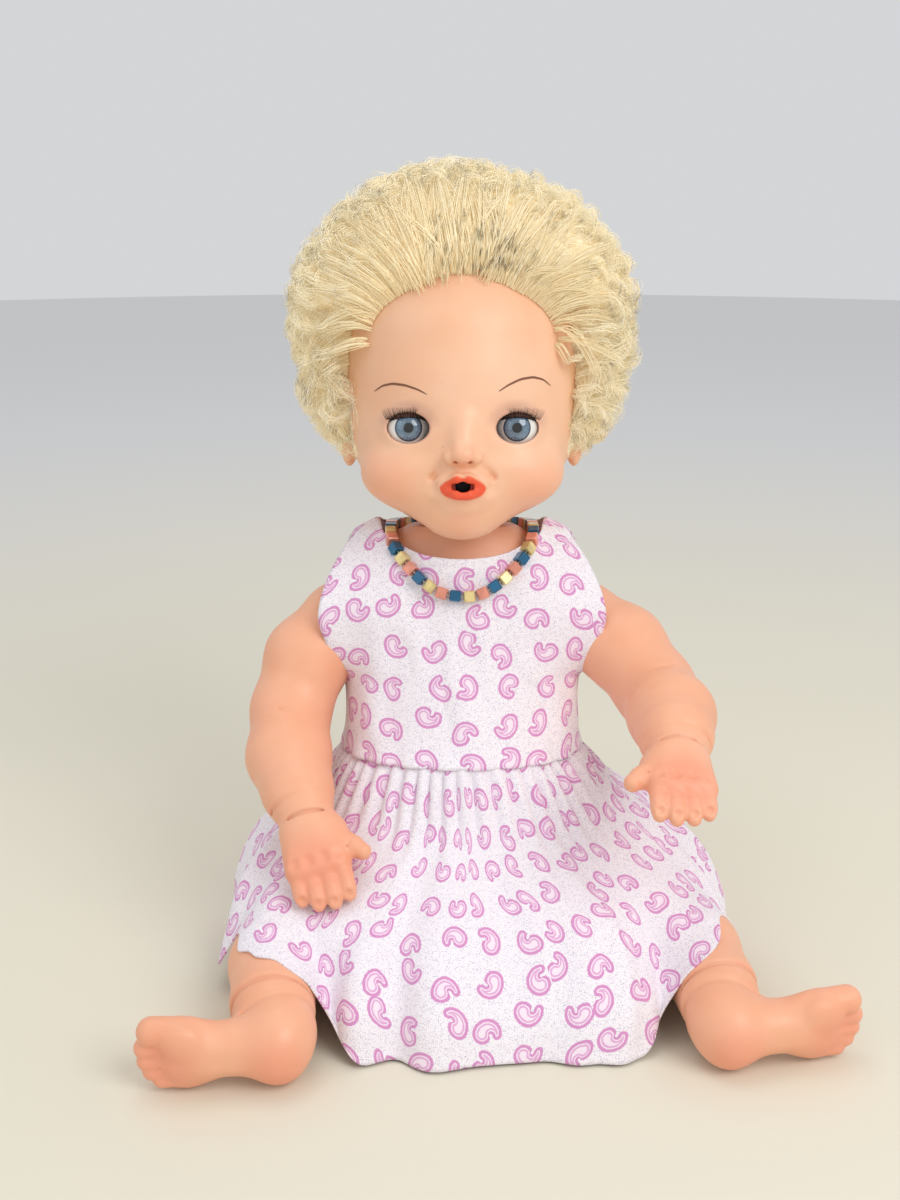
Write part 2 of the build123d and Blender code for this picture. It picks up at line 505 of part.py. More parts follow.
def necklace_points():
    """Equal steps along the necklace's loop, as positions and directions."""
    left = [(-x, y, z) for x, y, z in NECKLACE[1:-1]]
    loop = Spline(*[Vector(*p) for p in NECKLACE + left[::-1]], periodic=True)
    count = 3 * int(loop.length // (3 * BEAD_PITCH))
    spots = [(loop @ ((k + 0.5) / count), loop % ((k + 0.5) / count)) for k in range(count)]
    gaps = [loop @ (k / count) for k in range(count)]
    return spots, gaps


def make_necklace():
    spots, gaps = necklace_points()
    colours = ("beads_cream", "beads_pink", "beads_blue")
    groups = {name: [] for name in colours}
    for k, (point, direction) in enumerate(spots):
        bead = Box(BEAD, BEAD, BEAD)
        bead = chamfer(bead.edges(), 0.45) - Cylinder(BEAD_BORE, 2 * BEAD)
        plane = Plane(point, x_dir=(0, 0.2, 1) if abs(direction.Z) < 0.8 else (1, 0, 0), z_dir=direction)
        groups[colours[k % 3]].append(solid_of(plane * bead))
    for name in colours:
        parts[name] = leaning_group(groups[name])
    cord = Part()
    for k, gap in enumerate(gaps):
        after = gaps[(k + 1) % len(gaps)]
        cord = cord + rod(tuple(gap), tuple(after), ELASTIC_R) + ball(tuple(gap), ELASTIC_R)
    parts["necklace_elastic"] = lean(solid_of(cord))


def main():
    make_limbs()
    make_torso()
    make_voice_unit()
    make_head()
    make_eye(-1, "right")
    make_eye(1, "left")
    make_mouth()
    make_bodice()
    make_skirt()
    make_necklace()
    os.makedirs("parts", exist_ok=True)
    for name, shape in parts.items():
        export_step(shape, f"parts/{name}.step")


main()
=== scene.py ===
"""Interactive baby doll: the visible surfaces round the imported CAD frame.

Shapes are worked out in millimetres, upright as the CAD source draws the trunk and head, then leaned and scaled.
"""
import math

import bpy
import numpy as np
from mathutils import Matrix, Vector
from mathutils.bvhtree import BVHTree


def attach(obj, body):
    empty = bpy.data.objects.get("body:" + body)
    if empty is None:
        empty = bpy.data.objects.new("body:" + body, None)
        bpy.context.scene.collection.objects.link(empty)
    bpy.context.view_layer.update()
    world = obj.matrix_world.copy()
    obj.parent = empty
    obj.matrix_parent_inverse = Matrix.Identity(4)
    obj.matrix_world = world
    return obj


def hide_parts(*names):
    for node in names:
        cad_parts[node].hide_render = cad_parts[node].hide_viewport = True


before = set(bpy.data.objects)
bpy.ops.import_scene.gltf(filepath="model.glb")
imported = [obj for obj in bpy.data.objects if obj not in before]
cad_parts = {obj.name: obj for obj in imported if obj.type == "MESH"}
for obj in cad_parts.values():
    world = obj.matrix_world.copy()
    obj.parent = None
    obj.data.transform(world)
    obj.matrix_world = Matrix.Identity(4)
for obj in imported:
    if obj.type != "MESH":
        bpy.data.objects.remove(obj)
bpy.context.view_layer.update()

LEAN = math.radians(9.0)
MM = 0.001


# ---------------------------------------------------------------- frames
def lean(points):
    """Upright millimetres to the leaning doll's millimetres."""
    p = np.asarray(points, float)
    y = p[..., 1] * math.cos(LEAN) + p[..., 2] * math.sin(LEAN)
    z = p[..., 2] * math.cos(LEAN) - p[..., 1] * math.sin(LEAN)
    return np.stack([p[..., 0], y, z], -1)


def upright(points):
    """The way back from lean."""
    p = np.asarray(points, float)
    y = p[..., 1] * math.cos(LEAN) - p[..., 2] * math.sin(LEAN)
    z = p[..., 2] * math.cos(LEAN) + p[..., 1] * math.sin(LEAN)
    return np.stack([p[..., 0], y, z], -1)


def unit(v):
    v = np.asarray(v, float)
    return v / np.maximum(np.linalg.norm(v, axis=-1, keepdims=True), 1e-12)


def turn(points, middle, axis, degrees):
    a = unit(axis)
    q = np.asarray(points, float) - middle
    c, s = math.cos(math.radians(degrees)), math.sin(math.radians(degrees))
    return middle + q * c + np.cross(a, q) * s + np.outer(q @ a, a) * (1 - c)


def step(x, low, high):
    """Smooth 0 to 1 between low and high."""
    t = np.clip((x - low) / (high - low), 0, 1)
    return t * t * (3 - 2 * t)


# ---------------------------------------------------------------- distance fields
class Space:
    """A box of sample points."""

    def __init__(self, low, high, pitch):
        self.axes = [np.arange(a, b + pitch, pitch, dtype=np.float32) for a, b in zip(low, high)]
        self.xyz = np.meshgrid(*self.axes, indexing="ij", sparse=True)


def length(x, y, z):
    return np.sqrt(x * x + y * y + z * z)


def ball(q, c, r):
    return length(q[0] - c[0], q[1] - c[1], q[2] - c[2]) - r


def egg(q, c, h):
    """Ellipsoid."""
    x, y, z = [(q[i] - c[i]) / h[i] for i in range(3)]
    k0 = length(x, y, z)
    k1 = length(x / h[0], y / h[1], z / h[2])
    return k0 * (k0 - 1) / np.maximum(k1, 1e-6)


def cone(q, a, b, ra, rb):
    """Rod with round ends whose radius goes from ra to rb."""
    a, d = np.asarray(a, float), np.subtract(b, a)
    t = sum((q[i] - a[i]) * d[i] for i in range(3)) / float(d @ d)
    t = np.clip(t, 0, 1)
    return length(*[q[i] - a[i] - t * d[i] for i in range(3)]) - (ra + (rb - ra) * t)


def ring(q, c, axis, radius, thick):
    """Torus, for creases."""
    axis = unit(axis)
    p = [q[i] - c[i] for i in range(3)]
    h = sum(p[i] * axis[i] for i in range(3))
    out = np.sqrt(np.maximum(sum(v * v for v in p) - h * h, 0))
    return np.sqrt((out - radius) ** 2 + h * h) - thick


def join(a, b, k):
    h = np.maximum(k - np.abs(a - b), 0) / k
    return np.minimum(a, b) - h * h * k / 4


def cut(a, b, k):
    return -join(-a, b, k)


def net(space, field):
    """Surface nets: points and quads of the zero surface."""
    f = field.astype(np.float32)
    inside = f < 0
    shape = [n - 1 for n in f.shape]
    total = [np.zeros(shape, np.float32) for _ in range(3)]
    count = np.zeros(shape, np.float32)
    crossings = []
    for axis in range(3):
        lo = [slice(None)] * 3
        hi = [slice(None)] * 3
        lo[axis], hi[axis] = slice(0, -1), slice(1, None)
        fa, fb = f[tuple(lo)], f[tuple(hi)]
        cross = inside[tuple(lo)] != inside[tuple(hi)]
        crossings.append((cross, inside[tuple(lo)]))
        t = np.where(cross, fa / np.where(cross, fa - fb, 1), 0)
        others = [i for i in range(3) if i != axis]
        for da in (0, 1):
            for db in (0, 1):
                pick = [slice(None)] * 3
                pick[others[0]] = slice(da, da + shape[others[0]])
                pick[others[1]] = slice(db, db + shape[others[1]])
                pick = tuple(pick)
                c = cross[pick]
                count += c
                total[axis] += np.where(c, t[pick], 0)
                total[others[0]] += c * da
                total[others[1]] += c * db
    active = count > 0
    index = np.full(shape, -1, np.int64)
    index[active] = np.arange(int(active.sum()))
    cells = np.argwhere(active)
    points = np.empty((len(cells), 3))
    for i in range(3):
        axis = space.axes[i]
        points[:, i] = axis[cells[:, i]] + (total[i][active] / count[active]) * (axis[1] - axis[0])
    quads = []
    for axis in range(3):
        cross, low_inside = crossings[axis]
        u, v = (axis + 1) % 3, (axis + 2) % 3
        at = np.argwhere(cross)
        keep = (at[:, u] > 0) & (at[:, v] > 0) & (at[:, u] < shape[u]) & (at[:, v] < shape[v])
        at = at[keep]
        flip = ~low_inside[tuple(at.T)]
        corners = []
        for du, dv in ((1, 1), (0, 1), (0, 0), (1, 0)):
            cell = at.copy()
            cell[:, u] -= du
            cell[:, v] -= dv
            corners.append(index[tuple(cell.T)])
        quad = np.stack(corners, 1)
        quad[flip] = quad[flip][:, ::-1]
        quads.append(quad)
    return points, np.concatenate(quads)


# ---------------------------------------------------------------- mesh making
def make(name, points, faces, body, nodes=(), smooth=True, material=None, uv=None, values=None):
    """Mesh object from millimetre points in the doll's frame; uv is per point."""
    mesh = bpy.data.meshes.new(name)
    faces = np.asarray(faces)
    if faces.ndim == 2:
        n, sides = faces.shape
        mesh.vertices.add(len(points))
        mesh.vertices.foreach_set("co", (np.asarray(points) * MM).astype(np.float32).ravel())
        mesh.loops.add(n * sides)
        mesh.loops.foreach_set("vertex_index", faces.astype(np.int32).ravel())
        mesh.polygons.add(n)
        mesh.polygons.foreach_set("loop_start", np.arange(0, n * sides, sides, dtype=np.int32))
        mesh.update(calc_edges=True)
        mesh.validate()
    if uv is not None:
        layer = mesh.uv_layers.new(name="UVMap")
        corner = np.empty(len(mesh.loops), np.int32)
        mesh.loops.foreach_get("vertex_index", corner)
        layer.data.foreach_set("uv", np.asarray(uv, np.float32)[corner].ravel())
    for key, value in (values or {}).items():
        layer = mesh.attributes.new(key, "FLOAT", "POINT")
        layer.data.foreach_set("value", np.asarray(value, np.float32))
    if smooth:
        mesh.polygons.foreach_set("use_smooth", np.ones(len(mesh.polygons), bool))
    piece = bpy.data.objects.new(name, mesh)
    bpy.context.scene.collection.objects.link(piece)
    if material is not None:
        mesh.materials.append(material)
    bpy.context.view_layer.update()
    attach(piece, body)
    if nodes:
        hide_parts(*nodes)
    return piece


def soften(piece, factor=0.5, times=2):
    modifier = piece.modifiers.new("Soften", "SMOOTH")
    modifier.factor, modifier.iterations = factor, times


def tubes(paths, radii, sides=3, closed_ends=True):
    """Many thin tubes at once. paths is (strands, points, 3) and radii (strands, points)."""
    n, m, _ = paths.shape
    along = np.gradient(paths, axis=1)
    along = unit(along)
    ref = np.where(np.abs(along[..., 2:3]) > 0.9, np.array([1.0, 0, 0]), np.array([0, 0, 1.0]))
    a = unit(np.cross(along, ref))
    b = np.cross(along, a)
    angles = np.arange(sides) * 2 * np.pi / sides
    rings = (paths[:, :, None] + radii[:, :, None, None] * (
        np.cos(angles)[None, None, :, None] * a[:, :, None] + np.sin(angles)[None, None, :, None] * b[:, :, None]))
    points = rings.reshape(-1, 3)
    base = (np.arange(n) * m * sides)[:, None, None] + (np.arange(m - 1) * sides)[None, :, None]
    k = np.arange(sides)[None, None]
    nxt = (k + 1) % sides
    quads = np.stack([base + k, base + nxt, base + sides + nxt, base + sides + k], -1).reshape(-1, 4)
    return points, quads


# ---------------------------------------------------------------- node building
class Nodes:
    """Short hand for a material's node tree."""

    def __init__(self, name):
        self.material = bpy.data.materials.new(name)
        self.material.use_nodes = True
        self.tree = self.material.node_tree
        self.bsdf = self.tree.nodes["Principled BSDF"]

    def add(self, kind, inputs=None, **settings):
        node = self.tree.nodes.new("ShaderNode" + kind)
        for key, value in settings.items():
            setattr(node, key, value)
        for key, value in (inputs or {}).items():
            self.put(node.inputs[key], value)
        return node

    def put(self, socket, value):
        if isinstance(value, bpy.types.NodeSocket):
            self.tree.links.new(value, socket)
        else:
            socket.default_value = value

    def math(self, operation, a, b=0.0, c=0.0, clamp=False):
        node = self.add("Math", {0: a, 1: b, 2: c}, operation=operation, use_clamp=clamp)
        return node.outputs[0]

    def noise(self, scale, detail=3.0, vector=None, roughness=0.5):
        node = self.add("TexNoise", {"Scale": scale, "Detail": detail, "Roughness": roughness})
        if vector is None:
            vector = self.add("TexCoord").outputs["Object"]
        self.put(node.inputs["Vector"], vector)
        return node.outputs["Fac"]

    def ramp(self, value, stops):
        node = self.add("ValToRGB", {"Fac": value})
        while len(node.color_ramp.elements) < len(stops):
            node.color_ramp.elements.new(0.5)
        for element, (place, colour) in zip(node.color_ramp.elements, stops):
            element.position = place
            element.color = (*colour, 1.0) if len(colour) == 3 else colour
        return node.outputs["Color"]

    def mix(self, factor, a, b, blend="MIX"):
        node = self.add("Mix", data_type="RGBA", blend_type=blend)
        self.put(node.inputs[0], factor)
        for socket, value in ((node.inputs[6], a), (node.inputs[7], b)):
            self.put(socket, (*value, 1.0) if isinstance(value, tuple) and len(value) == 3 else value)
        return node.outputs[2]

    def map(self, value, low, high, out_low=0.0, out_high=1.0):
        node = self.add("MapRange", {"Value": value, "From Min": low, "From Max": high,
                                     "To Min": out_low, "To Max": out_high}, interpolation_type="SMOOTHSTEP")
        return node.outputs["Result"]

    def attribute(self, name):
        return self.add("Attribute", attribute_name=name).outputs["Fac"]

    def bump(self, height, strength, distance):
        node = self.add("Bump", {"Strength": strength, "Distance": distance, "Height": height})
        self.put(self.bsdf.inputs["Normal"], node.outputs["Normal"])

    def finish(self, **inputs):
        for key, value in inputs.items():
            self.put(self.bsdf.inputs[key.replace("_", " ")], value)
        return self.material


def linear(*srgb):
    return tuple(v / 12.92 if v <= 0.04045 else ((v + 0.055) / 1.055) ** 2.4 for v in srgb)


def skin_material(name, base, blush):
    """Satin vinyl: mottled colour, painted blush and lips, painted shade in creases, round the eyes, in the mouth hole
    and nostrils, all from point values, fine grain.
    """
    n = Nodes(name)
    wide = n.noise(26.0, 3.0)
    colour = n.mix(n.map(wide, 0.35, 0.7), base, tuple(v * w for v, w in zip(base, (0.97, 0.90, 0.84))))
    colour = n.mix(n.math("MULTIPLY", n.attribute("blush"), 0.8, clamp=True), colour, blush)
    # Painted shade: the creases and the eye sockets are darkened.
    colour = n.mix(n.math("MULTIPLY", n.attribute("painted_shade"), 0.85, clamp=True), colour, linear(0.66, 0.45, 0.42))
    colour = n.mix(n.attribute("lip"), colour, linear(0.93, 0.36, 0.22))
    # Painted shade: the mouth hole and the nostrils are darkened.
    colour = n.mix(n.attribute("dark"), colour, linear(0.42, 0.14, 0.10))
    specks = n.add("TexVoronoi", {"Scale": 55.0, "Vector": n.add("TexCoord").outputs["Object"]})
    speck = n.map(specks.outputs["Distance"], 0.035, 0.02)
    colour = n.mix(n.math("MULTIPLY", speck, 0.28), colour, linear(0.60, 0.40, 0.30))
    grain = n.noise(900.0, 2.0)
    n.bump(n.math("ADD", grain, n.math("MULTIPLY", wide, 2.0)), 0.10, 0.0004)
    rough = n.map(n.noise(60.0, 2.0), 0.3, 0.75, 0.38, 0.52)
    material = n.finish(Base_Color=colour, Roughness=rough)
    n.bsdf.inputs["Subsurface Weight"].default_value = 0.12
    n.bsdf.inputs["Subsurface Radius"].default_value = (0.006, 0.0025, 0.0012)
    n.bsdf.inputs["Specular IOR Level"].default_value = 0.42
    return material


def plain_material(name, colour, rough=0.45, metal=0.0, scale=120.0, bump=0.1, coat=0.0, spread=0.12):
    """Moulded plastic, metal or board with slight unevenness."""
    n = Nodes(name)
    tone = n.noise(scale, 4.0)
    darker = tuple(v * (1 - spread) for v in colour)
    base = n.mix(n.map(tone, 0.3, 0.7), colour, darker)
    n.bump(n.noise(scale * 6, 2.0), bump, 0.0002)
    n.finish(Base_Color=base, Roughness=n.map(tone, 0.2, 0.8, max(rough - 0.06, 0.03), rough + 0.08))
    n.bsdf.inputs["Metallic"].default_value = metal
    n.bsdf.inputs["Coat Weight"].default_value = coat
    n.bsdf.inputs["Coat Roughness"].default_value = 0.08
    return n.material


PAISLEY_PITCH = 54.0  # drops in a metre of cloth


def print_material(name):
    """White cotton with a fine stipple and pink outlined paisley drops, drawn in the cloth's own metres."""
    n = Nodes(name)
    uv = n.add("UVMap", uv_map="UVMap").outputs["UV"]
    cells = n.add("TexVoronoi", {"Vector": uv, "Scale": PAISLEY_PITCH, "Randomness": 0.35},
                  voronoi_dimensions="2D", feature="F1")
    scaled = n.add("VectorMath", {0: uv, 1: (1, 1, 1)}, operation="MULTIPLY").outputs[0]
    offset = n.add("VectorMath", {0: scaled, 1: cells.outputs["Position"]}, operation="SUBTRACT").outputs[0]
    whole = n.add("VectorMath", {0: offset, 3: PAISLEY_PITCH}, operation="SCALE").outputs[0]
    chance = n.add("SeparateColor", {"Color": cells.outputs["Color"]}).outputs
    angle = n.math("MULTIPLY", chance[0], 6.2832)
    spun = n.add("VectorRotate", {"Vector": whole, "Angle": angle}, rotation_type="Z_AXIS").outputs[0]
    split = n.add("SeparateXYZ", {0: spun}).outputs
    flip = n.math("SUBTRACT", n.math("MULTIPLY", n.math("GREATER_THAN", chance[1], 0.5), 2.0), 1.0)
    # The drop is a tapering arc: nearest point on the arc, less the width there
    x, y = n.math("ADD", n.math("MULTIPLY", split[0], flip), 0.15), split[1]
    t = n.math("DIVIDE", n.math("ADD", n.math("ARCTAN2", y, x), 1.25), 3.0, clamp=True)
    turned = n.math("SUBTRACT", n.math("MULTIPLY", t, 3.0), 1.25)
    dx = n.math("SUBTRACT", x, n.math("MULTIPLY", n.math("COSINE", turned), 0.19))
    dy = n.math("SUBTRACT", y, n.math("MULTIPLY", n.math("SINE", turned), 0.19))
    far = n.math("SQRT", n.math("ADD", n.math("MULTIPLY", dx, dx), n.math("MULTIPLY", dy, dy)))
    drop = n.math("SUBTRACT", far, n.math("SUBTRACT", 0.205, n.math("MULTIPLY", t, 0.125)))
    wobble = n.math("MULTIPLY", n.math("SUBTRACT", n.noise(900.0, 1.0, uv), 0.5), 0.03)
    drop = n.math("ADD", drop, wobble)
    outer = n.map(n.math("ABSOLUTE", drop), 0.050, 0.026)
    inner = n.map(n.math("ABSOLUTE", n.math("ADD", drop, 0.090)), 0.032, 0.014)
    fill = n.map(drop, 0.01, -0.01)
    fine = n.noise(1500.0, 2.0, uv, 0.7)
    dots = n.map(fine, 0.50, 0.60)
    patch = n.map(n.noise(420.0, 2.0, uv), 0.38, 0.62, 0.25, 0.85)
    dots = n.math("MULTIPLY", dots, patch)
    dots = n.math("MULTIPLY", dots, n.math("SUBTRACT", 1.0, n.math("MULTIPLY", fill, 0.75)))
    colour = n.mix(n.math("MULTIPLY", dots, 0.74), linear(0.965, 0.945, 0.965), linear(0.62, 0.56, 0.70))
    colour = n.mix(n.math("MULTIPLY", fill, 0.35), colour, linear(0.95, 0.80, 0.90))
    colour = n.mix(n.math("MULTIPLY", outer, 0.85), colour, linear(0.82, 0.49, 0.74))
    colour = n.mix(n.math("MULTIPLY", inner, 0.70), colour, linear(0.84, 0.54, 0.78))
    weave_u = n.add("TexWave", {"Vector": uv, "Scale": 380.0}, bands_direction="X").outputs["Fac"]
    weave_v = n.add("TexWave", {"Vector": uv, "Scale": 380.0}, bands_direction="Y").outputs["Fac"]
    cloth = n.math("ADD", n.math("MULTIPLY", weave_u, weave_v), n.math("MULTIPLY", n.noise(140.0, 3.0, uv), 1.5))
    n.bump(cloth, 0.25, 0.0004)
    n.finish(Base_Color=colour, Roughness=0.86)
    n.bsdf.inputs["Sheen Weight"].default_value = 0.18
    n.bsdf.inputs["Sheen Roughness"].default_value = 0.5
    n.bsdf.inputs["Specular IOR Level"].default_value = 0.25
    return n.material


def hair_material(name, light, dark):
    n = Nodes(name)
    tone = n.attribute("tone")
    # Low tone gives the dark colour: in the strands this is painted shade towards the roots, mixed with random tone per
    # strand.
    colour = n.mix(n.map(tone, 0.0, 1.0), dark, light)
    streak = n.noise(220.0, 2.0)
    colour = n.mix(n.math("MULTIPLY", n.map(streak, 0.4, 0.7), 0.25), colour, linear(0.99, 0.97, 0.86))
    n.finish(Base_Color=colour, Roughness=0.42)
    n.bsdf.inputs["Specular IOR Level"].default_value = 0.55
    n.bsdf.inputs["Sheen Weight"].default_value = 0.15
    # Painted glow: the hair gives off faint light in its own colour, standing in for light scattered among the strands.
    n.put(n.bsdf.inputs["Emission Color"], colour)
    n.bsdf.inputs["Emission Strength"].default_value = 0.14
    return n.material


def eye_material(name):
    """White ball with a blue-grey iris and the painted lid above the lash line."""
    n = Nodes(name)
    uv = n.add("UVMap", uv_map="UVMap").outputs["UV"]
    split = n.add("SeparateXYZ", {0: uv}).outputs
    r = n.math("SQRT", n.math("ADD", n.math("MULTIPLY", split[0], split[0]), n.math("MULTIPLY", split[1], split[1])))
    angle = n.math("ARCTAN2", split[1], split[0])
    spoke = n.add("CombineXYZ", {0: n.math("MULTIPLY", n.math("COSINE", angle), 5.0),
                                 1: n.math("MULTIPLY", n.math("SINE", angle), 5.0),
                                 2: n.math("MULTIPLY", r, 1.2)}).outputs[0]
    rays = n.noise(5.0, 4.0, spoke, 0.65)
    iris = n.mix(n.map(rays, 0.35, 0.65), linear(0.24, 0.33, 0.42), linear(0.50, 0.60, 0.68))
    iris = n.mix(n.map(r, 0.34, 0.24), iris, linear(0.36, 0.44, 0.50))
    iris = n.mix(n.map(r, 0.46, 0.55), iris, linear(0.10, 0.15, 0.22))
    iris = n.mix(n.map(r, 0.215, 0.19), iris, linear(0.02, 0.02, 0.03))
    white = n.mix(n.map(n.noise(40.0), 0.3, 0.7), linear(0.93, 0.92, 0.90), linear(0.86, 0.84, 0.82))
    front = n.attribute("front")
    disc = n.math("MULTIPLY", n.map(r, 0.575, 0.55), front)
    colour = n.mix(disc, white, iris)
    lid = n.map(n.attribute("lid"), -0.05, 0.15)
    colour = n.mix(lid, colour, linear(0.74, 0.52, 0.46))
    n.finish(Base_Color=colour, Roughness=0.10)
    n.bsdf.inputs["Coat Weight"].default_value = 1.0
    n.bsdf.inputs["Coat Roughness"].default_value = 0.02
    return n.material


def bead_material(name, colour, metal):
    n = Nodes(name)
    tone = n.noise(180.0, 3.0)
    base = n.mix(n.map(tone, 0.35, 0.65), colour, tuple(v * 0.72 for v in colour))
    n.bump(n.noise(700.0, 2.0), 0.08, 0.0002)
    n.finish(Base_Color=base, Roughness=n.map(tone, 0.3, 0.7, 0.16, 0.28))
    n.bsdf.inputs["Metallic"].default_value = metal
    n.bsdf.inputs["Coat Weight"].default_value = 0.6
    n.bsdf.inputs["Coat Roughness"].default_value = 0.06
    return n.material


SKIN = skin_material("face_vinyl", linear(0.955, 0.765, 0.635), linear(0.95, 0.60, 0.48))
LIMB = skin_material("limb_vinyl", linear(0.945, 0.705, 0.575), linear(0.93, 0.55, 0.44))
PRINT = print_material("paisley_cotton")
HAIR = hair_material("blonde_hair", linear(0.99, 0.955, 0.845), linear(0.95, 0.865, 0.68))
# A darker copy of the strands' material: painted shade for the dense hair under the loose locks.
HAIR_SHADED_CORE = hair_material("blonde_hair_shaded_core", linear(0.96, 0.90, 0.74), linear(0.92, 0.83, 0.64))
EYE = eye_material("glossy_eye")
DARK_HAIR = plain_material("lash_bristle", linear(0.13, 0.09, 0.07), 0.5)
BROW = plain_material("brow_paint", linear(0.50, 0.32, 0.22), 0.5)
NO_PAINT = ("blush", "painted_shade", "lip", "dark")


# ---------------------------------------------------------------- head
HEAD_RINGS = np.array([
    (200, 16, 16, 4), (209, 18, 19, 3), (213, 24, 30, -1), (217, 31, 39, -4), (223, 39, 48, -5), (231, 46.5, 53.5, -4),
    (244, 53.5, 59, -2), (262, 56.5, 62, 0), (285, 57.5, 64, 2), (310, 56, 62, 3), (335, 47, 52, 4), (352, 33, 37, 5),
    (361, 17, 19, 5), (366, 3, 3, 5)])
EYES = {"right": np.array([-25.5, -42.5, 260.0]), "left": np.array([25.5, -42.5, 260.0])}
EYE_R = 11.5
MOUTH_Z = 233.0
HAIR_MIDDLE, HAIR_HALF = np.array([0, 12.0, 313.0]), np.array([93.0, 79.0, 82.0])
HAIR_DROP = 1.28  # the hair's lower half is this much longer than its upper half
HAIRLINE_Z, FACE_HALF = 326.0, 54.0


def skull(q):
    z = q[2]
    half_x = half_y = middle = 0
    for offset, weight in ((-4, 0.15), (-2, 0.2), (0, 0.3), (2, 0.2), (4, 0.15)):
        half_x = half_x + weight * np.interp(z + offset, HEAD_RINGS[:, 0], HEAD_RINGS[:, 1])
        half_y = half_y + weight * np.interp(z + offset, HEAD_RINGS[:, 0], HEAD_RINGS[:, 2])
        middle = middle + weight * np.interp(z + offset, HEAD_RINGS[:, 0], HEAD_RINGS[:, 3])
    x, y = q[0] / half_x, (q[1] - middle) / half_y
    k0 = np.sqrt(x * x + y * y)
    k1 = np.sqrt((x / half_x) ** 2 + (y / half_y) ** 2)
    flat = k0 * (k0 - 1) / np.maximum(k1, 1e-6)
    slope = np.interp(z, [200, 214, 226, 250, 320, 345, 366], [0.9, 0.6, 0.85, 1.0, 0.95, 0.75, 0.35])
    return np.maximum(flat * slope, np.maximum(z - 365.5, 202 - z))


def face(q):
    """The head's outside with its features, upright."""
    f = skull(q)
    f = join(f, egg(q, (0, -40, 221), (21, 15.5, 15)), 14)
    for side in (-1, 1):
        f = join(f, egg(q, (side * 26.5, -36, 238), (22, 20, 16)), 11)
        f = join(f, egg(q, (side * 57.5, 6, 254), (4.8, 8.5, 14.5)), 3)
        f = cut(f, egg(q, (side * 63, 3.5, 257), (3.2, 4.8, 8.5)), 2)
        f = cut(f, egg(q, (side * 26, -66, 266), (13, 8, 6)), 7)
        f = cut(f, egg(q, (side * 24, -65, 248), (9, 5, 4)), 6)
        f = join(f, ball(q, (side * 25.5, -42.5, 260), 13.5), 3)
    f = join(f, egg(q, (0, -55, 233.5), (14.5, 9, 11.5)), 6)
    f = join(f, cone(q, (0, -59.5, 263), (0, -63, 251), 2.8, 4.4), 8)
    f = join(f, egg(q, (0, -66, 247.6), (5.6, 5.0, 4.6)), 3)
    for side in (-1, 1):
        f = join(f, egg(q, (side * 6.0, -62.8, 246.2), (3.6, 4.2, 3.5)), 2.2)
        f = cut(f, cone(q, (side * 3.4, -69.5, 243.0), (side * 3.2, -64, 245.0), 1.3, 0.9), 1.2)
        f = cut(f, cone(q, (side * 8.5, -62.5, 242.6), (side * 14, -57, 237), 0.6, 1.0), 4)
        f = cut(f, ball(q, (side * 14.0, -60.6, 231.5), 2.2), 4)
    f = cut(f, cone(q, (0, -68.0, 242.5), (0, -67.6, 240.5), 1.0, 1.2), 2.5)
    for side in (-1, 1):
        f = join(f, cone(q, (side * 2.9, -65.3, 237.0), (side * 10.2, -60.2, 233.2), 2.5, 0.9), 1.6)
        f = join(f, cone(q, (side * 3.4, -63.4, 229.2), (side * 9.8, -60.2, 232.2), 2.9, 0.9), 1.6)
    f = join(f, cone(q, (-2.6, -64.2, 228.9), (2.6, -64.2, 228.9), 3.0, 3.0), 1.6)
    f = join(f, cone(q, (-2.6, -65.0, 236.9), (2.6, -65.0, 236.9), 2.1, 2.1), 1.6)
    f = cut(f, egg(q, (0, -67.8, 233.1), (2.8, 2.4, 0.7)), 1.2)
    f = cut(f, cone(q, (0, -72, MOUTH_Z), (0, -58, MOUTH_Z), 1.5, 1.5), 0.4)
    f = cut(f, cone(q, (-6, -63.8, 223.4), (6, -63.8, 223.4), 1.2, 1.2), 6)
    return f


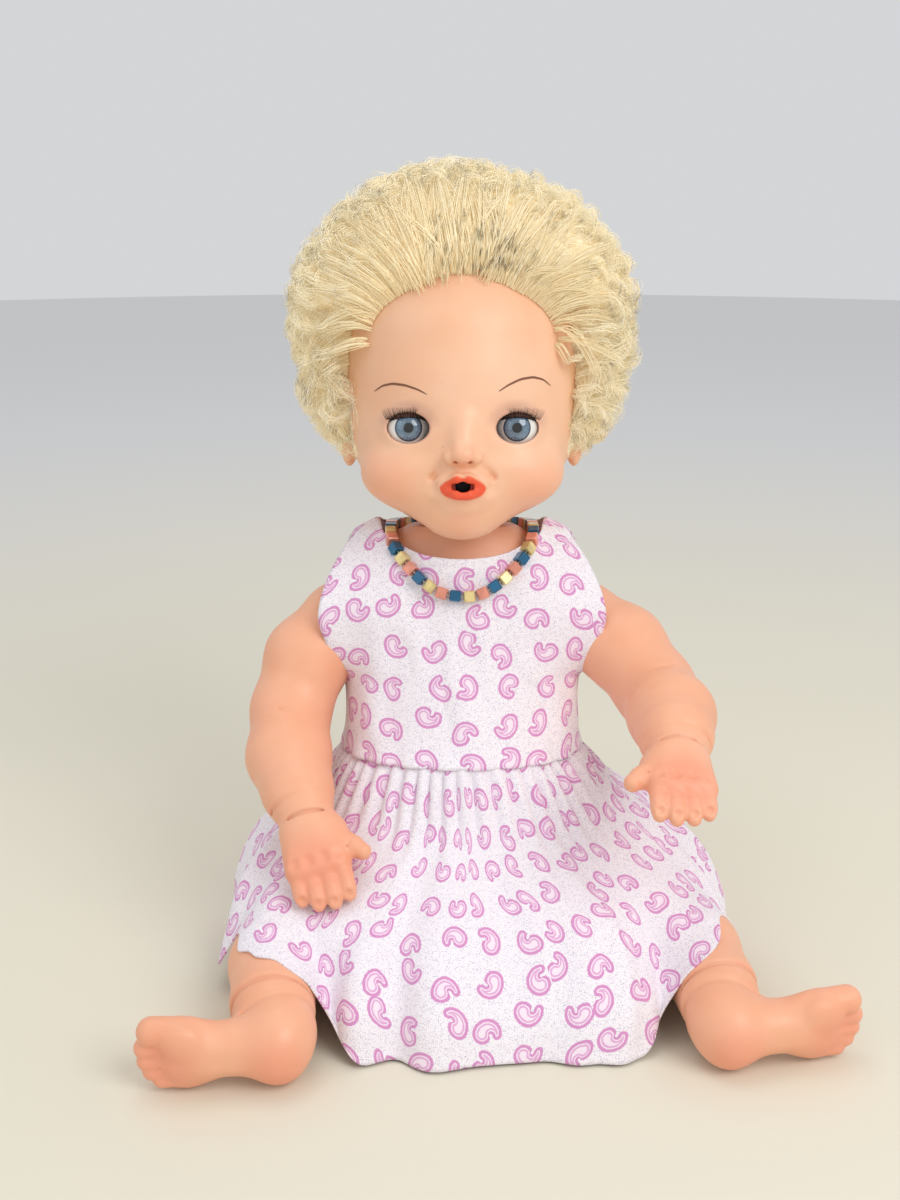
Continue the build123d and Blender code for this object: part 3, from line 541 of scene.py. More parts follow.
def make_head():
    pitch = 0.85
    space = Space((-66, -78, 199), (66, 72, 370), pitch)
    q = space.xyz
    f = face(q)
    inner = skull(q) + 6.0
    inner = join(inner, np.maximum(length(q[0], q[1] - 4, 0) - 13.5, np.maximum(q[2] - 232, 200 - q[2])), 2)
    f = np.maximum(f, -inner)
    for middle in EYES.values():
        f = cut(f, ball(q, middle, 12.0), 0.4)
        wide = np.sqrt(((q[0] - middle[0]) / 9.9) ** 2 + ((q[2] - middle[2]) / 7.1) ** 2)
        slot = np.maximum((wide - 1) * 7.5, q[1] - middle[1])
        f = cut(f, slot, 1.4)
        f = cut(f, cone(q, middle + (0, 2, -3), middle + (0, 12, -22), 8.5, 8.5), 0.5)
        f = cut(f, cone(q, middle + (0, 8, 0), middle + (0, 20, 0), 13.5, 13.5), 0.5)
    f = cut(f, cone(q, (0, -61.2, MOUTH_Z), (0, -30, MOUTH_Z), 5.5, 5.5), 0.3)
    points, faces = net(space, f)
    x, y, z = points.T
    arch = np.sqrt(np.maximum(1 - (x / 10.8) ** 2, 0))
    upper = 232.6 + 5.2 * arch ** 1.5 + 0.9 * np.exp(-((np.abs(x) - 3.4) / 1.8) ** 2) - 0.5 * np.exp(-(x / 1.6) ** 2)
    lower = 232.8 - 6.2 * arch ** 0.8
    lip = step(np.minimum(upper - z, z - lower), -0.5, 0.5) * (np.abs(x) < 10.8) * (y < -52)
    # Painted shade: the mouth hole is darkened fully and the nostrils by about a third.
    dark = step(-(np.hypot(x, z - MOUTH_Z) - 2.2), -0.3, 0.5) * (y > -65.0) * (y < -40)
    nostril = [ball([x, y, z], (side * 3.3, -66.5, 244.0), 1.9) for side in (-1, 1)]
    dark = np.maximum(dark, 0.35 * step(-np.minimum(*nostril), 0.0, 1.0))
    painted_shade, blush = np.zeros(len(points)), np.zeros(len(points))
    # Painted shade round each eye: above it, under the brow, and round the rim of its slot.
    for middle in EYES.values():
        d = np.hypot((x - middle[0]) / 1.25, (z - middle[2] - 1.0))
        painted_shade = np.maximum(painted_shade, step(-d, -13.5, -8.5) * step(z, middle[2] - 2, middle[2] + 5) * (y < -30) * 0.42)
        rim = np.hypot((x - middle[0]) / 9.9, (z - middle[2]) / 7.1)
        painted_shade = np.maximum(painted_shade, step(-rim, -1.12, -1.0) * (y < -40) * 0.5)
        blush = np.maximum(blush, step(-length((x - middle[0] * 1.35) / 1.2, (y + 40) / 2.5, z - 236), -18, -4) * 0.45)
    blush = np.maximum(blush, step(-ball([x, y, z], (0, -66, 247), 0), -8, -3) * 0.35)
    blush = np.maximum(blush, step(-ball([x, y, z], (0, -54, 215), 0), -11, -3) * 0.25)
    values = {"lip": lip, "dark": dark, "painted_shade": painted_shade, "blush": blush}
    piece = make("head_vinyl", lean(points), faces, "head", ["head_shell"], material=SKIN, values=values)
    soften(piece, 0.5, 2)
    return points, faces


def make_brows(points, faces):
    """Thin painted strokes laid on the forehead."""
    tree = BVHTree.FromPolygons([tuple(p) for p in points], [tuple(int(i) for i in f) for f in faces])
    strokes = {"brow_right": [(-42.0, 277.0), (-38, 279.6), (-33, 280.6), (-27, 279.8), (-21, 277.8), (-16.5, 275.4)],
               "brow_left": [(16.5, 276.8), (21, 279.8), (27, 282.6), (33, 283.6), (38, 282.6), (42.0, 279.6)]}
    for name, line in strokes.items():
        line = np.array(line)
        s = np.linspace(0, len(line) - 1, 28)
        k = np.arange(len(line))
        xz = np.stack([np.interp(s, k, line[:, 0]), np.interp(s, k, line[:, 1])], 1)
        xz = (np.vstack([xz[:1], xz[:-1]]) + xz * 2 + np.vstack([xz[1:], xz[-1:]])) / 4
        path, normals = [], []
        for x, z in xz:
            hit, normal, _, _ = tree.ray_cast(Vector((x, -120, z)), Vector((0, 1, 0)))
            path.append(hit)
            normals.append(normal)
        path, normals = np.array(path), unit(np.array(normals))
        path = path + normals * np.sign(-normals[:, 1:2]) * 0.12
        width = 0.55 * np.sin(np.pi * np.linspace(0.06, 0.97, len(path))) ** 0.6
        up = unit(np.cross(np.gradient(path, axis=0), normals))
        rows = [path + up * width[:, None], path + normals * np.sign(-normals[:, 1:2]) * 0.1, path - up * width[:, None]]
        verts = np.concatenate(rows)
        n = len(path)
        quads = [(r * n + i, r * n + i + 1, (r + 1) * n + i + 1, (r + 1) * n + i) for r in (0, 1) for i in range(n - 1)]
        make(name, lean(verts), np.array(quads), "head", material=BROW)


def make_eyes():
    rng = np.random.default_rng(5)
    for side, middle in EYES.items():
        u = np.linspace(0, np.pi, 61)
        v = np.arange(96) * 2 * np.pi / 96
        uu, vv = np.meshgrid(u, v, indexing="ij")
        n = np.stack([np.sin(uu) * np.cos(vv), -np.cos(uu), np.sin(uu) * np.sin(vv)], -1).reshape(-1, 3)
        r = np.hypot(n[:, 0], n[:, 2])
        bulge = np.where(n[:, 1] < 0, 0.35 * step(-r, -0.6, -0.2), 0)
        points = n * (EYE_R - 0.02 + bulge)[:, None] + middle
        i, j = np.meshgrid(np.arange(60), np.arange(96), indexing="ij")
        quads = np.stack([i * 96 + j, i * 96 + (j + 1) % 96, (i + 1) * 96 + (j + 1) % 96, (i + 1) * 96 + j], -1)
        keep = points[:, 1] < middle[1] + 6
        quads = quads.reshape(-1, 4)
        quads = quads[keep[quads].all(1)]
        tilt = math.radians(24.0)
        lid = (n[:, 2] * math.cos(tilt) + n[:, 1] * math.sin(tilt)) * EYE_R
        make(f"{side}_eye_ball", lean(points), quads, f"{side}_eye",
             [f"{side}_eyeball", f"{side}_iris", f"{side}_eye_lens"], material=EYE,
             uv=n[:, [0, 2]], values={"lid": lid, "front": (n[:, 1] < 0).astype(float)})
        count = 48
        across = np.linspace(-9.3, 9.3, count) + rng.uniform(-0.15, 0.15, count)
        reach = 4.8 + 1.4 * (np.abs(across) / 9.3) * np.sign(across * (1 if side == "left" else -1) + 3)
        reach = np.clip(reach, 3.6, 6.2) + rng.uniform(-0.5, 0.5, count)
        t = np.linspace(0, 1, 7)
        root_r = np.sqrt(EYE_R ** 2 - across ** 2) * 1.0
        lift = math.radians(24.0)
        out = np.stack([across / EYE_R * 0.85, -np.ones(count) * math.cos(lift), np.ones(count) * 0.32], -1)
        out = unit(out)
        root = np.stack([across, -root_r * math.cos(lift), root_r * math.sin(lift)], -1)
        path = root[:, None] + out[:, None] * (t * reach[:, None])[..., None]
        path[..., 2] += (t ** 2 * reach[:, None] * 0.60)
        radii = np.repeat((0.25 * (1 - 0.80 * t))[None], count, 0)
        pts, quads = tubes(path + middle, radii, 4)
        make(f"{side}_lash_hairs", lean(pts), quads, f"{side}_eye", [f"{side}_lashes"], material=DARK_HAIR)


# ---------------------------------------------------------------- hair
def in_face(p):
    """True where the bare face is."""
    corner = 26.0
    x, z = np.abs(p[:, 0]), p[:, 2]
    line = HAIRLINE_Z - np.where(x > FACE_HALF - corner, corner - np.sqrt(
        np.maximum(corner ** 2 - (x - FACE_HALF + corner) ** 2, 0)), 0)
    line = line - 1.5 + 3.0 * np.cos(x * 0.09)
    return (p[:, 1] < 2) & (x < FACE_HALF + 1.2) & (z < line)


def droop(offset):
    """Offsets from the hair's middle with the lower half drawn up to a plain ellipsoid's."""
    z = offset[..., 2]
    return np.stack([offset[..., 0], offset[..., 1], np.where(z < 0, z / HAIR_DROP, z)], -1)


def scalp_point(directions):
    """Where rays from the head's middle leave the skull."""
    c = np.array([0, 4.0, 296.0])
    near, far = np.zeros(len(directions)), np.full(len(directions), 130.0)
    for _ in range(26):
        mid = (near + far) / 2
        p = c + directions * mid[:, None]
        inside = skull([p[:, 0], p[:, 1], p[:, 2]]) < 0
        near, far = np.where(inside, mid, near), np.where(inside, far, mid)
    return c + directions * near[:, None]


def make_hair():
    rng = np.random.default_rng(11)
    locks = 1250
    per = 15
    k = np.arange(6000) + 0.5
    phi = np.arccos(1 - 2 * k / 6000)
    theta = np.pi * (1 + 5 ** 0.5) * k
    d = np.stack([np.cos(theta) * np.sin(phi), np.sin(theta) * np.sin(phi), np.cos(phi)], 1)
    roots = scalp_point(d)
    ok = ~in_face(roots) & (roots[:, 2] > np.where(roots[:, 1] > 20, 244, 254)) & (
        ~((np.abs(roots[:, 0]) > 50) & (roots[:, 1] < 14) & (roots[:, 2] < 264)))
    roots = roots[ok]
    roots = roots[rng.permutation(len(roots))[:locks]]
    # A regular row of plugs along the hairline
    xs = np.linspace(-FACE_HALF, FACE_HALF, 64)
    corner = 26.0
    zs = HAIRLINE_Z + 0.5 - np.where(np.abs(xs) > FACE_HALF - corner, corner - np.sqrt(
        np.maximum(corner ** 2 - (np.abs(xs) - FACE_HALF + corner) ** 2, 0)), 0) + 3.0 * np.cos(xs * 0.09) - 1.5
    front = scalp_point(unit(np.stack([xs, np.full_like(xs, -49.0 + 0.0), zs - 296.0], 1)))
    roots = np.vstack([roots, front, front + unit(front - (0, 4, 296)) * 0.5 + (0, 2.5, 2.5)])
    n = len(roots)
    normal = unit(roots - np.array([0, 8, 292]))
    frontness = step(-roots[:, 1], 5, 45) * step(roots[:, 2], 290, 330)
    sideways = np.sign(roots[:, 0]) * step(np.abs(roots[:, 0]), 4, 40)
    low_side = step(np.abs(roots[:, 0]), 40, 52) * step(-roots[:, 2], -312, -285)
    brush = np.stack([0.50 * sideways + rng.normal(0, 0.22, n),
                      0.75 * frontness + rng.normal(0, 0.22, n) + 0.10 - 0.35 * low_side,
                      0.75 * frontness - 0.35 * (1 - frontness) - 0.55 * low_side + rng.normal(0, 0.25, n)], 1)
    aim = unit((roots - HAIR_MIDDLE) / HAIR_HALF + 0.42 * brush)
    depth = 0.83 + 0.11 * rng.random(n)
    end = HAIR_MIDDLE + aim * HAIR_HALF * depth[:, None]
    end[:, 2] = np.where(end[:, 2] < HAIR_MIDDLE[2], HAIR_MIDDLE[2] + (end[:, 2] - HAIR_MIDDLE[2]) * HAIR_DROP, end[:, 2])
    end[:, 2] = np.maximum(end[:, 2], 250 + 4 * rng.random(n))
    out_n = unit((end - HAIR_MIDDLE) / HAIR_HALF ** 2)
    span = np.linalg.norm(end - roots, axis=1)
    middle = roots + normal * (span * 0.45)[:, None] + np.array([0, 0, 1.0]) * (frontness * 5)[:, None]
    travel = unit(brush + rng.normal(0, 0.55, (n, 3)) + np.array([0, 0.25, 0]) * frontness[:, None])
    heading = unit(travel - (travel * out_n).sum(1, keepdims=True) * out_n)
    side_v = unit(np.cross(heading, out_n))
    curl_r = rng.uniform(3.2, 6.0, n)
    curl_turn = rng.uniform(5.5, 10.5, n)
    curl_start = rng.uniform(0, 6.28, n)
    reach = rng.uniform(16, 30, n) * (1 - 0.3 * frontness)
    m = 17
    t = np.linspace(0, 1, m)
    paths, radii, tones = [], [], []
    for s in range(per):
        jitter = rng.normal(0, 1.0, (n, 3)) * 1.5
        jitter[-len(front) * 2:] *= 0.35
        spread = rng.normal(0, 1.0, (n, 3))
        u1 = np.clip(t / 0.38, 0, 1)[None, :, None]
        u2 = np.clip((t - 0.38) / 0.62, 0, 1)[None, :]
        a, b, c = (roots + jitter)[:, None], (middle + spread * 1.9)[:, None], (end + spread * 1.15)[:, None]
        path = (1 - u1) ** 2 * a + 2 * u1 * (1 - u1) * b + u1 ** 2 * c
        w = u2 * (curl_turn * rng.uniform(0.95, 1.05, n))[:, None] + curl_start[:, None]
        r = (curl_r * rng.uniform(0.9, 1.1, n))[:, None] * step(u2, 0.0, 0.25)
        go = u2 * (reach * rng.uniform(0.8, 1.1, n))[:, None]
        path = path + go[..., None] * heading[:, None] - (go ** 2 / 130 + go * 0.10)[..., None] * out_n[:, None]
        path = path + (np.sin(w) * r)[..., None] * side_v[:, None] + (np.cos(w) * r)[..., None] * out_n[:, None]
        wave = np.sin(t[None] * 9 + rng.uniform(0, 6.28, n)[:, None]) * (0.8 * t)[None]
        path = path + wave[..., None] * side_v[:, None]
        paths.append(path)
        radii.append(np.repeat((0.20 * (1 - 0.55 * t))[None], n, 0))
        # Painted shade: tone makes each strand darker towards its root, with a random tone per strand on top.
        tones.append(np.clip(0.25 + 0.55 * t[None] + rng.normal(0, 0.16, n)[:, None], 0, 1))
    paths, radii, tones = np.concatenate(paths), np.concatenate(radii), np.concatenate(tones)
    # Keep every strand outside the bare face and inside the hair's envelope
    flat = paths.reshape(-1, 3)
    k0 = length(*((droop(flat - HAIR_MIDDLE) / HAIR_HALF).T))
    flat = np.where((k0 > 1.03)[:, None], HAIR_MIDDLE + (flat - HAIR_MIDDLE) * (1.03 / k0)[:, None], flat)
    s = skull([flat[:, 0], flat[:, 1], flat[:, 2]])
    push = np.maximum(0.6 - s, 0)[:, None] * unit(flat - np.array([0, 6, 290]))
    paths = (flat + push).reshape(paths.shape)
    low = (paths[:, 3:, 2] < 258) & (paths[:, 3:, 1] < -20) | (paths[:, 3:, 2] < 243)
    bad = low.any(1) | (in_face(paths[:, 4:].reshape(-1, 3)).reshape(len(paths), -1) &
                        (paths[:, 4:, 1] < -30)).sum(1).astype(bool)
    bad &= np.tile(np.arange(n) < n - 2 * len(front), per)
    paths, radii, tones = paths[~bad], radii[~bad], tones[~bad]
    order = rng.permutation(len(paths))
    thirds = np.array_split(order, 4)
    for i, pick in enumerate(thirds):
        points, quads = tubes(paths[pick], radii[pick], 3)
        tone = np.repeat(tones[pick].ravel(), 3)
        make(f"hair_strands_{i + 1}", lean(points), quads, "head", ["rooted_hair"] if i == 0 else (),
             material=HAIR, values={"tone": tone})
    # Dense hair under the loose locks, in a darker copy of the hair material that paints it in shade
    pitch = 1.8
    space = Space((-88, -74, 242), (88, 92, 392), pitch)
    q = space.xyz
    wide = np.broadcast_arrays(*q)
    x, y, z = wide
    lump = 2.6 * np.sin(x * 0.23 + 2 * np.sin(z * 0.11)) * np.sin(y * 0.21 + z * 0.13) * np.sin(z * 0.2 + x * 0.09)
    drawn_up = np.where(q[2] < HAIR_MIDDLE[2], HAIR_MIDDLE[2] + (q[2] - HAIR_MIDDLE[2]) / HAIR_DROP, q[2])
    f = egg([q[0], q[1], drawn_up], HAIR_MIDDLE, HAIR_HALF * 0.885) + 1.15 * lump
    f = np.maximum(f, 250 - z)
    shell = skull(q) - 1.2
    f = np.maximum(f, -shell)
    pts = np.stack([x.ravel(), y.ravel(), z.ravel()], 1)
    inside = ((y < 6) & (np.abs(x) < FACE_HALF + 2) & (z < HAIRLINE_Z + 3)).astype(float)
    gap = np.maximum.reduce([np.abs(x) - FACE_HALF - 2.5, z - HAIRLINE_Z - 9, y - 2])
    f = cut(f, gap, 6)
    f = cut(f, np.maximum.reduce([np.abs(x) - 71, z - 316, y + 5]), 9)
    f = np.maximum(f, -(np.maximum(np.maximum(np.abs(np.abs(x) - 57) - 7, np.abs(y - 3) - 12), z - 262)))
    points, faces = net(space, f)
    tone = np.clip(0.5 + 0.05 * points[:, 0] * 0 + rng.normal(0, 0.2, len(points)), 0, 1)
    piece = make("hair_under", lean(points), faces, "head", material=HAIR_SHADED_CORE, values={"tone": tone})
    soften(piece, 0.5, 2)


# ---------------------------------------------------------------- limbs
SHOULDER = np.array([-62, 24, 158.0])
ARM_AXIS = np.array([-0.89, 0.242, -0.387])
ARM_LINE = [((-62, 24, 158), 20.0), ((-79, 16, 141), 21.0), ((-87, 2, 118), 19.2),
            ((-86, -21, 102), 20.0), ((-80, -40, 92), 16.3), ((-74, -54, 83), 12.6)]
KNUCKLES, WRIST = np.array([-67.5, -75, 68.0]), np.array([-74, -54, 83.0])
FINGERS = [(11.5, 15.5, 3.9), (4.2, 17.5, 4.1), (-3.4, 16.5, 4.0), (-10.4, 12.5, 3.6)]
HIP = np.array([-58, 4, 34.0])
LEG_AXIS = np.array([-0.94, 0, -0.342])
LEG_LINE = [((-58, 4, 34), 27.5), ((-70, -27, 31), 26.0), ((-80, -58, 27.5), 23.0),
            ((-87, -88, 25), 20.5), ((-86, -114, 22.5), 17.0), ((-81, -132, 20), 16.5)]
TOES = [(-133.5, 29.0, 6.6), (-137.0, 21.2, 4.7), (-136.5, 14.9, 4.3), (-134.5, 9.6, 4.0), (-130.5, 5.4, 3.7)]


def chain(q, line, k):
    f = None
    for (a, ra), (b, rb) in zip(line, line[1:]):
        part = cone(q, a, b, ra, rb)
        f = part if f is None else join(f, part, k)
    return f


def limb_end(q, f, middle, axis, inset):
    """Flat at the socket, with the stub that turns in the torso."""
    axis = unit(axis)
    t = sum((q[i] - middle[i]) * axis[i] for i in range(3)) + inset
    f = np.maximum(f, 0.3 - t)
    out = np.sqrt(np.maximum(sum((q[i] - middle[i]) ** 2 for i in range(3)) - (t - inset) ** 2, 0))
    stub = np.maximum(out - 11.5, np.maximum(-5.5 - t, t - 6))
    return np.minimum(f, stub)


def right_arm_shape():
    pitch = 0.75
    space = Space((-112, -102, 46), (-38, 50, 184), pitch)
    q = space.xyz
    f = chain(q, ARM_LINE, 7)
    f = join(f, ball(q, SHOULDER, 20.5), 4)
    down = unit(KNUCKLES - WRIST)
    across = unit(np.array([0.97, 0.1, 0.2]) - down * (np.array([0.97, 0.1, 0.2]) @ down))
    palm_side = np.cross(across, down)
    back = -palm_side
    f = join(f, cone(q, WRIST, WRIST + down * 8, 10.5, 10.0), 4)
    for offset in (-8.5, 0, 8.5):
        f = join(f, cone(q, WRIST + down * 7 + across * offset * 0.7, KNUCKLES - down * 2 + across * offset, 9.0, 7.2), 5)
    f = join(f, ball(q, WRIST + down * 9 + across * 11 + palm_side * 3, 6.5), 6)
    for offset, reach, radius in FINGERS:
        root = KNUCKLES + across * offset - down * 3
        middle = root + down * (3 + reach * 0.5) + palm_side * 0.8
        far = middle + down * (reach * 0.28) + palm_side * 1.3
        tip = far + down * (reach * 0.17) + palm_side * 1.6
        digit = join(cone(q, root, middle, radius + 0.3, radius), cone(q, middle, far, radius, radius * 0.95), 1.5)
        digit = join(digit, cone(q, far, tip, radius * 0.95, radius * 0.80), 1.5)
        digit = cut(digit, ring(q, middle, down, radius + 0.35, 0.35), 0.9)
        f = join(f, digit, 1.8)
        f = cut(f, ball(q, root + back * (radius + 4.2) + down * 1.0, 2.1), 3.0)
        f = cut(f, egg(q, tip + back * (radius * 0.9) + down * 0.8, (1.9, 1.4, 1.9)), 0.7)
    thumb_mid = np.array([-52.5, -66, 76.5])
    f = join(f, cone(q, (-62, -62, 78), thumb_mid, 5.6, 4.9), 4)
    f = join(f, cone(q, thumb_mid, (-47, -69, 74.5), 4.8, 4.1), 2)
    f = cut(f, ring(q, thumb_mid, (1, -0.5, -0.3), 5.0, 0.35), 1.0)
    # Wrist and elbow creases
    f = cut(f, ring(q, WRIST + down * 1.5, down, 11.6, 0.55), 2.2)
    f = cut(f, ring(q, WRIST - down * 9, unit(down + (0, 0.2, 0)), 15.6, 0.4), 2.5)
    f = cut(f, ring(q, (-82, -8, 112), (0.1, 0.75, 0.62), 19.6, 0.0), 2.5)
    f = limb_end(q, f, SHOULDER, ARM_AXIS, 15.0)
    inner = chain(q, [(p, r - 4.0) for p, r in ARM_LINE], 5)
    t = sum((q[i] - SHOULDER[i]) * unit(ARM_AXIS)[i] for i in range(3)) + 15.0
    inner = np.maximum(inner, 4.0 - t)
    f = np.maximum(f, -inner)
    points, faces = net(space, f)
    d_elbow = np.linalg.norm(points - np.array([-93, -4, 106]), axis=1)
    d_hand = np.linalg.norm(points - KNUCKLES, axis=1)
    blush = np.maximum(step(-d_elbow, -30, -8) * 0.55, step(-d_hand, -26, -6) * 0.65)
    # Painted shade in the wrist crease.
    crease = ring([points[:, 0], points[:, 1], points[:, 2]], WRIST + down * 1.5, down, 11.6, 0.3)
    painted_shade = step(-crease, -2.2, -0.4) * 0.16
    return points, faces, blush, painted_shade


def right_leg_shape(yaw, yaw_axis_sign):
    """One leg on the right side; yaw splays it outwards about its hip."""
    pitch = 0.85
    space = Space((-185, -176, -1), (-28, 36, 66), pitch)
    q = space.xyz
    # The limb is drawn unsplayed, so the samples are turned back first
    c, s = math.cos(math.radians(yaw)), math.sin(math.radians(yaw))
    dx, dy = q[0] - HIP[0], q[1] - HIP[1]
    p = [HIP[0] + dx * c - dy * s * yaw_axis_sign, HIP[1] + dx * s * yaw_axis_sign + dy * c, q[2]]
    f = chain(p, LEG_LINE, 9)
    f = join(f, egg(p, (-80.5, -139.5, 16.5), (14, 14.5, 16)), 6)
    f = join(f, cone(p, (-84, -139, 18), (-108, -142, 17.5), 13.2, 11.6), 6)
    f = join(f, egg(p, (-119, -144, 17.5), (14.5, 9.6, 16.6)), 6)
    f = join(f, egg(p, (-121, -150.5, 26.5), (9, 4.6, 7.5)), 4)
    f = cut(f, egg(p, (-100, -161.5, 20), (13, 6.5, 9)), 5)
    for x, z, radius in TOES:
        f = join(f, cone(p, (x + 11, -146, z + 0.3), (x, -146.5, z), radius * 0.92, radius), 1.6)
        f = cut(f, egg(p, (x - radius * 0.75, -146.5 + radius * 0.85, z), (1.9, 1.3, radius * 0.55)), 0.6)
    for spot, axis, radius in (((-85.5, -119, 22), (0.12, -1, -0.1), 17.4), ((-82, -128, 21), (0.3, -1, -0.1), 17.0)):
        f = cut(f, ring(p, spot, axis, radius, 0.45), 3)
    f = cut(f, ring(p, (-77, -48, 28.5), (0.22, -1, -0.05), 24.6, 0.7), 4)
    f = join(f, ball(q, HIP, 28.0), 2)
    f = np.maximum(f, 0.15 - q[2])
    f = limb_end(q, f, HIP, LEG_AXIS, 20.0)
    inner = chain(p, [(a, r - 4.5) for a, r in LEG_LINE], 6)
    t = sum((q[i] - HIP[i]) * unit(LEG_AXIS)[i] for i in range(3)) + 20.0
    f = np.maximum(f, -np.maximum(inner, 4.0 - t))
    points, faces = net(space, f)
    u = [HIP[0] + (points[:, 0] - HIP[0]) * c - (points[:, 1] - HIP[1]) * s * yaw_axis_sign,
         HIP[1] + (points[:, 0] - HIP[0]) * s * yaw_axis_sign + (points[:, 1] - HIP[1]) * c, points[:, 2]]
    blush = step(-length(u[0] + 128, u[1] + 148, u[2] - 16), -24, -6) * 0.55
    blush = np.maximum(blush, step(-length(u[0] + 80, u[1] + 150, u[2] - 14), -20, -5) * 0.55)
    # Painted shade in the ankle crease.
    painted_shade = step(-ring(u, (-85.5, -119, 22), (0.12, -1, -0.1), 17.4, 0.3), -2.0, -0.4) * 0.12
    return points, faces, blush, painted_shade


def make_limbs():
    none = np.zeros
    points, faces, blush, painted_shade = right_arm_shape()
    flat = {"lip": none(len(points)), "dark": none(len(points)), "blush": blush, "painted_shade": painted_shade}
    soften(make("right_arm_vinyl", points, faces, "right_arm", ["right_arm"], material=LIMB, values=flat))
    mirror = points * (-1, 1, 1)
    lifted = turn(mirror, SHOULDER * (-1, 1, 1), ARM_AXIS * (-1, 1, 1), -28.0)
    soften(make("left_arm_vinyl", lifted, faces[:, ::-1], "left_arm", ["left_arm"], material=LIMB, values=flat))
    for side, yaw in (("right", 0.0), ("left", 15.0)):
        points, faces, blush, painted_shade = right_leg_shape(yaw, 1)
        if side == "left":
            points, faces = points * (-1, 1, 1), faces[:, ::-1]
        flat = {"lip": none(len(points)), "dark": none(len(points)), "blush": blush, "painted_shade": painted_shade}
        soften(make(f"{side}_leg_vinyl", points, faces, f"{side}_leg", [f"{side}_leg"], material=LIMB, values=flat))


# ---------------------------------------------------------------- dress
BODICE_RINGS = np.array([(70, 61, 55, -1.5), (85, 60.5, 53.5, -1.5), (100, 60, 51, -0.5), (120, 59, 47, 1),
                         (150, 60, 41.5, 3), (174, 62, 39.5, 4), (190, 59, 36.5, 4), (201, 51, 32.5, 4),
                         (207, 44, 30.5, 4), (213, 33, 29.5, 4)])


def curve(points, count):
    """Even Catmull-Rom samples through the points."""
    p = np.asarray(points, float)
    ends = np.vstack([2 * p[0] - p[1], p, 2 * p[-1] - p[-2]])
    out = []
    for i in range(len(p) - 1):
        a, b, c, d = ends[i:i + 4]
        t = np.linspace(0, 1, 24, endpoint=False)[:, None]
        out.append(0.5 * (2 * b + (c - a) * t + (2 * a - 5 * b + 4 * c - d) * t ** 2 + (3 * b - a - 3 * c + d) * t ** 3))
    out = np.vstack(out + [p[-1:]])
    s = np.r_[0, np.cumsum(np.linalg.norm(np.diff(out, axis=0), axis=1))]
    at = np.linspace(0, s[-1], count)
    return np.stack([np.interp(at, s, out[:, i]) for i in range(3)], 1)


def patch(bottom, top, left, right):
    """Coons patch; bottom and top run left to right, left and right run upwards."""
    u = np.linspace(0, 1, len(bottom))[:, None, None]
    v = np.linspace(0, 1, len(left))[None, :, None]
    ruled = (1 - v) * bottom[:, None] + v * top[:, None] + (1 - u) * left[None] + u * right[None]
    return ruled - ((1 - u) * (1 - v) * bottom[0] + u * (1 - v) * bottom[-1] + (1 - u) * v * top[0] + u * v * top[-1])


def bodice_outside(grid, u, v):
    """Lays the patch on the bodice's outline, and lets its edges stand off as their curves do."""
    z = grid[..., 2]
    hx, hy, my = [np.interp(z, BODICE_RINGS[:, 0], BODICE_RINGS[:, i]) for i in (1, 2, 3)]
    k = np.maximum(np.hypot(grid[..., 0] / hx, (grid[..., 1] - my) / hy), 1e-6)
    side = (k[:1] + k[-1:]) / 2 - 1
    want = np.maximum.reduce([side * np.abs(u) ** 3.5, (k[:, -1:] - 1) * v ** 7, (k[:, :1] - 1) * (1 - v) ** 7])
    want = 1 + np.maximum(want, 0)
    return np.stack([grid[..., 0] * want / k, my + (grid[..., 1] - my) * want / k, z], -1)


def both(points):
    """A half curve from the doll's right side to its middle, with its mirror."""
    p = np.asarray(points, float)
    return np.vstack([p, (p * (-1, 1, 1))[::-1][1:]])


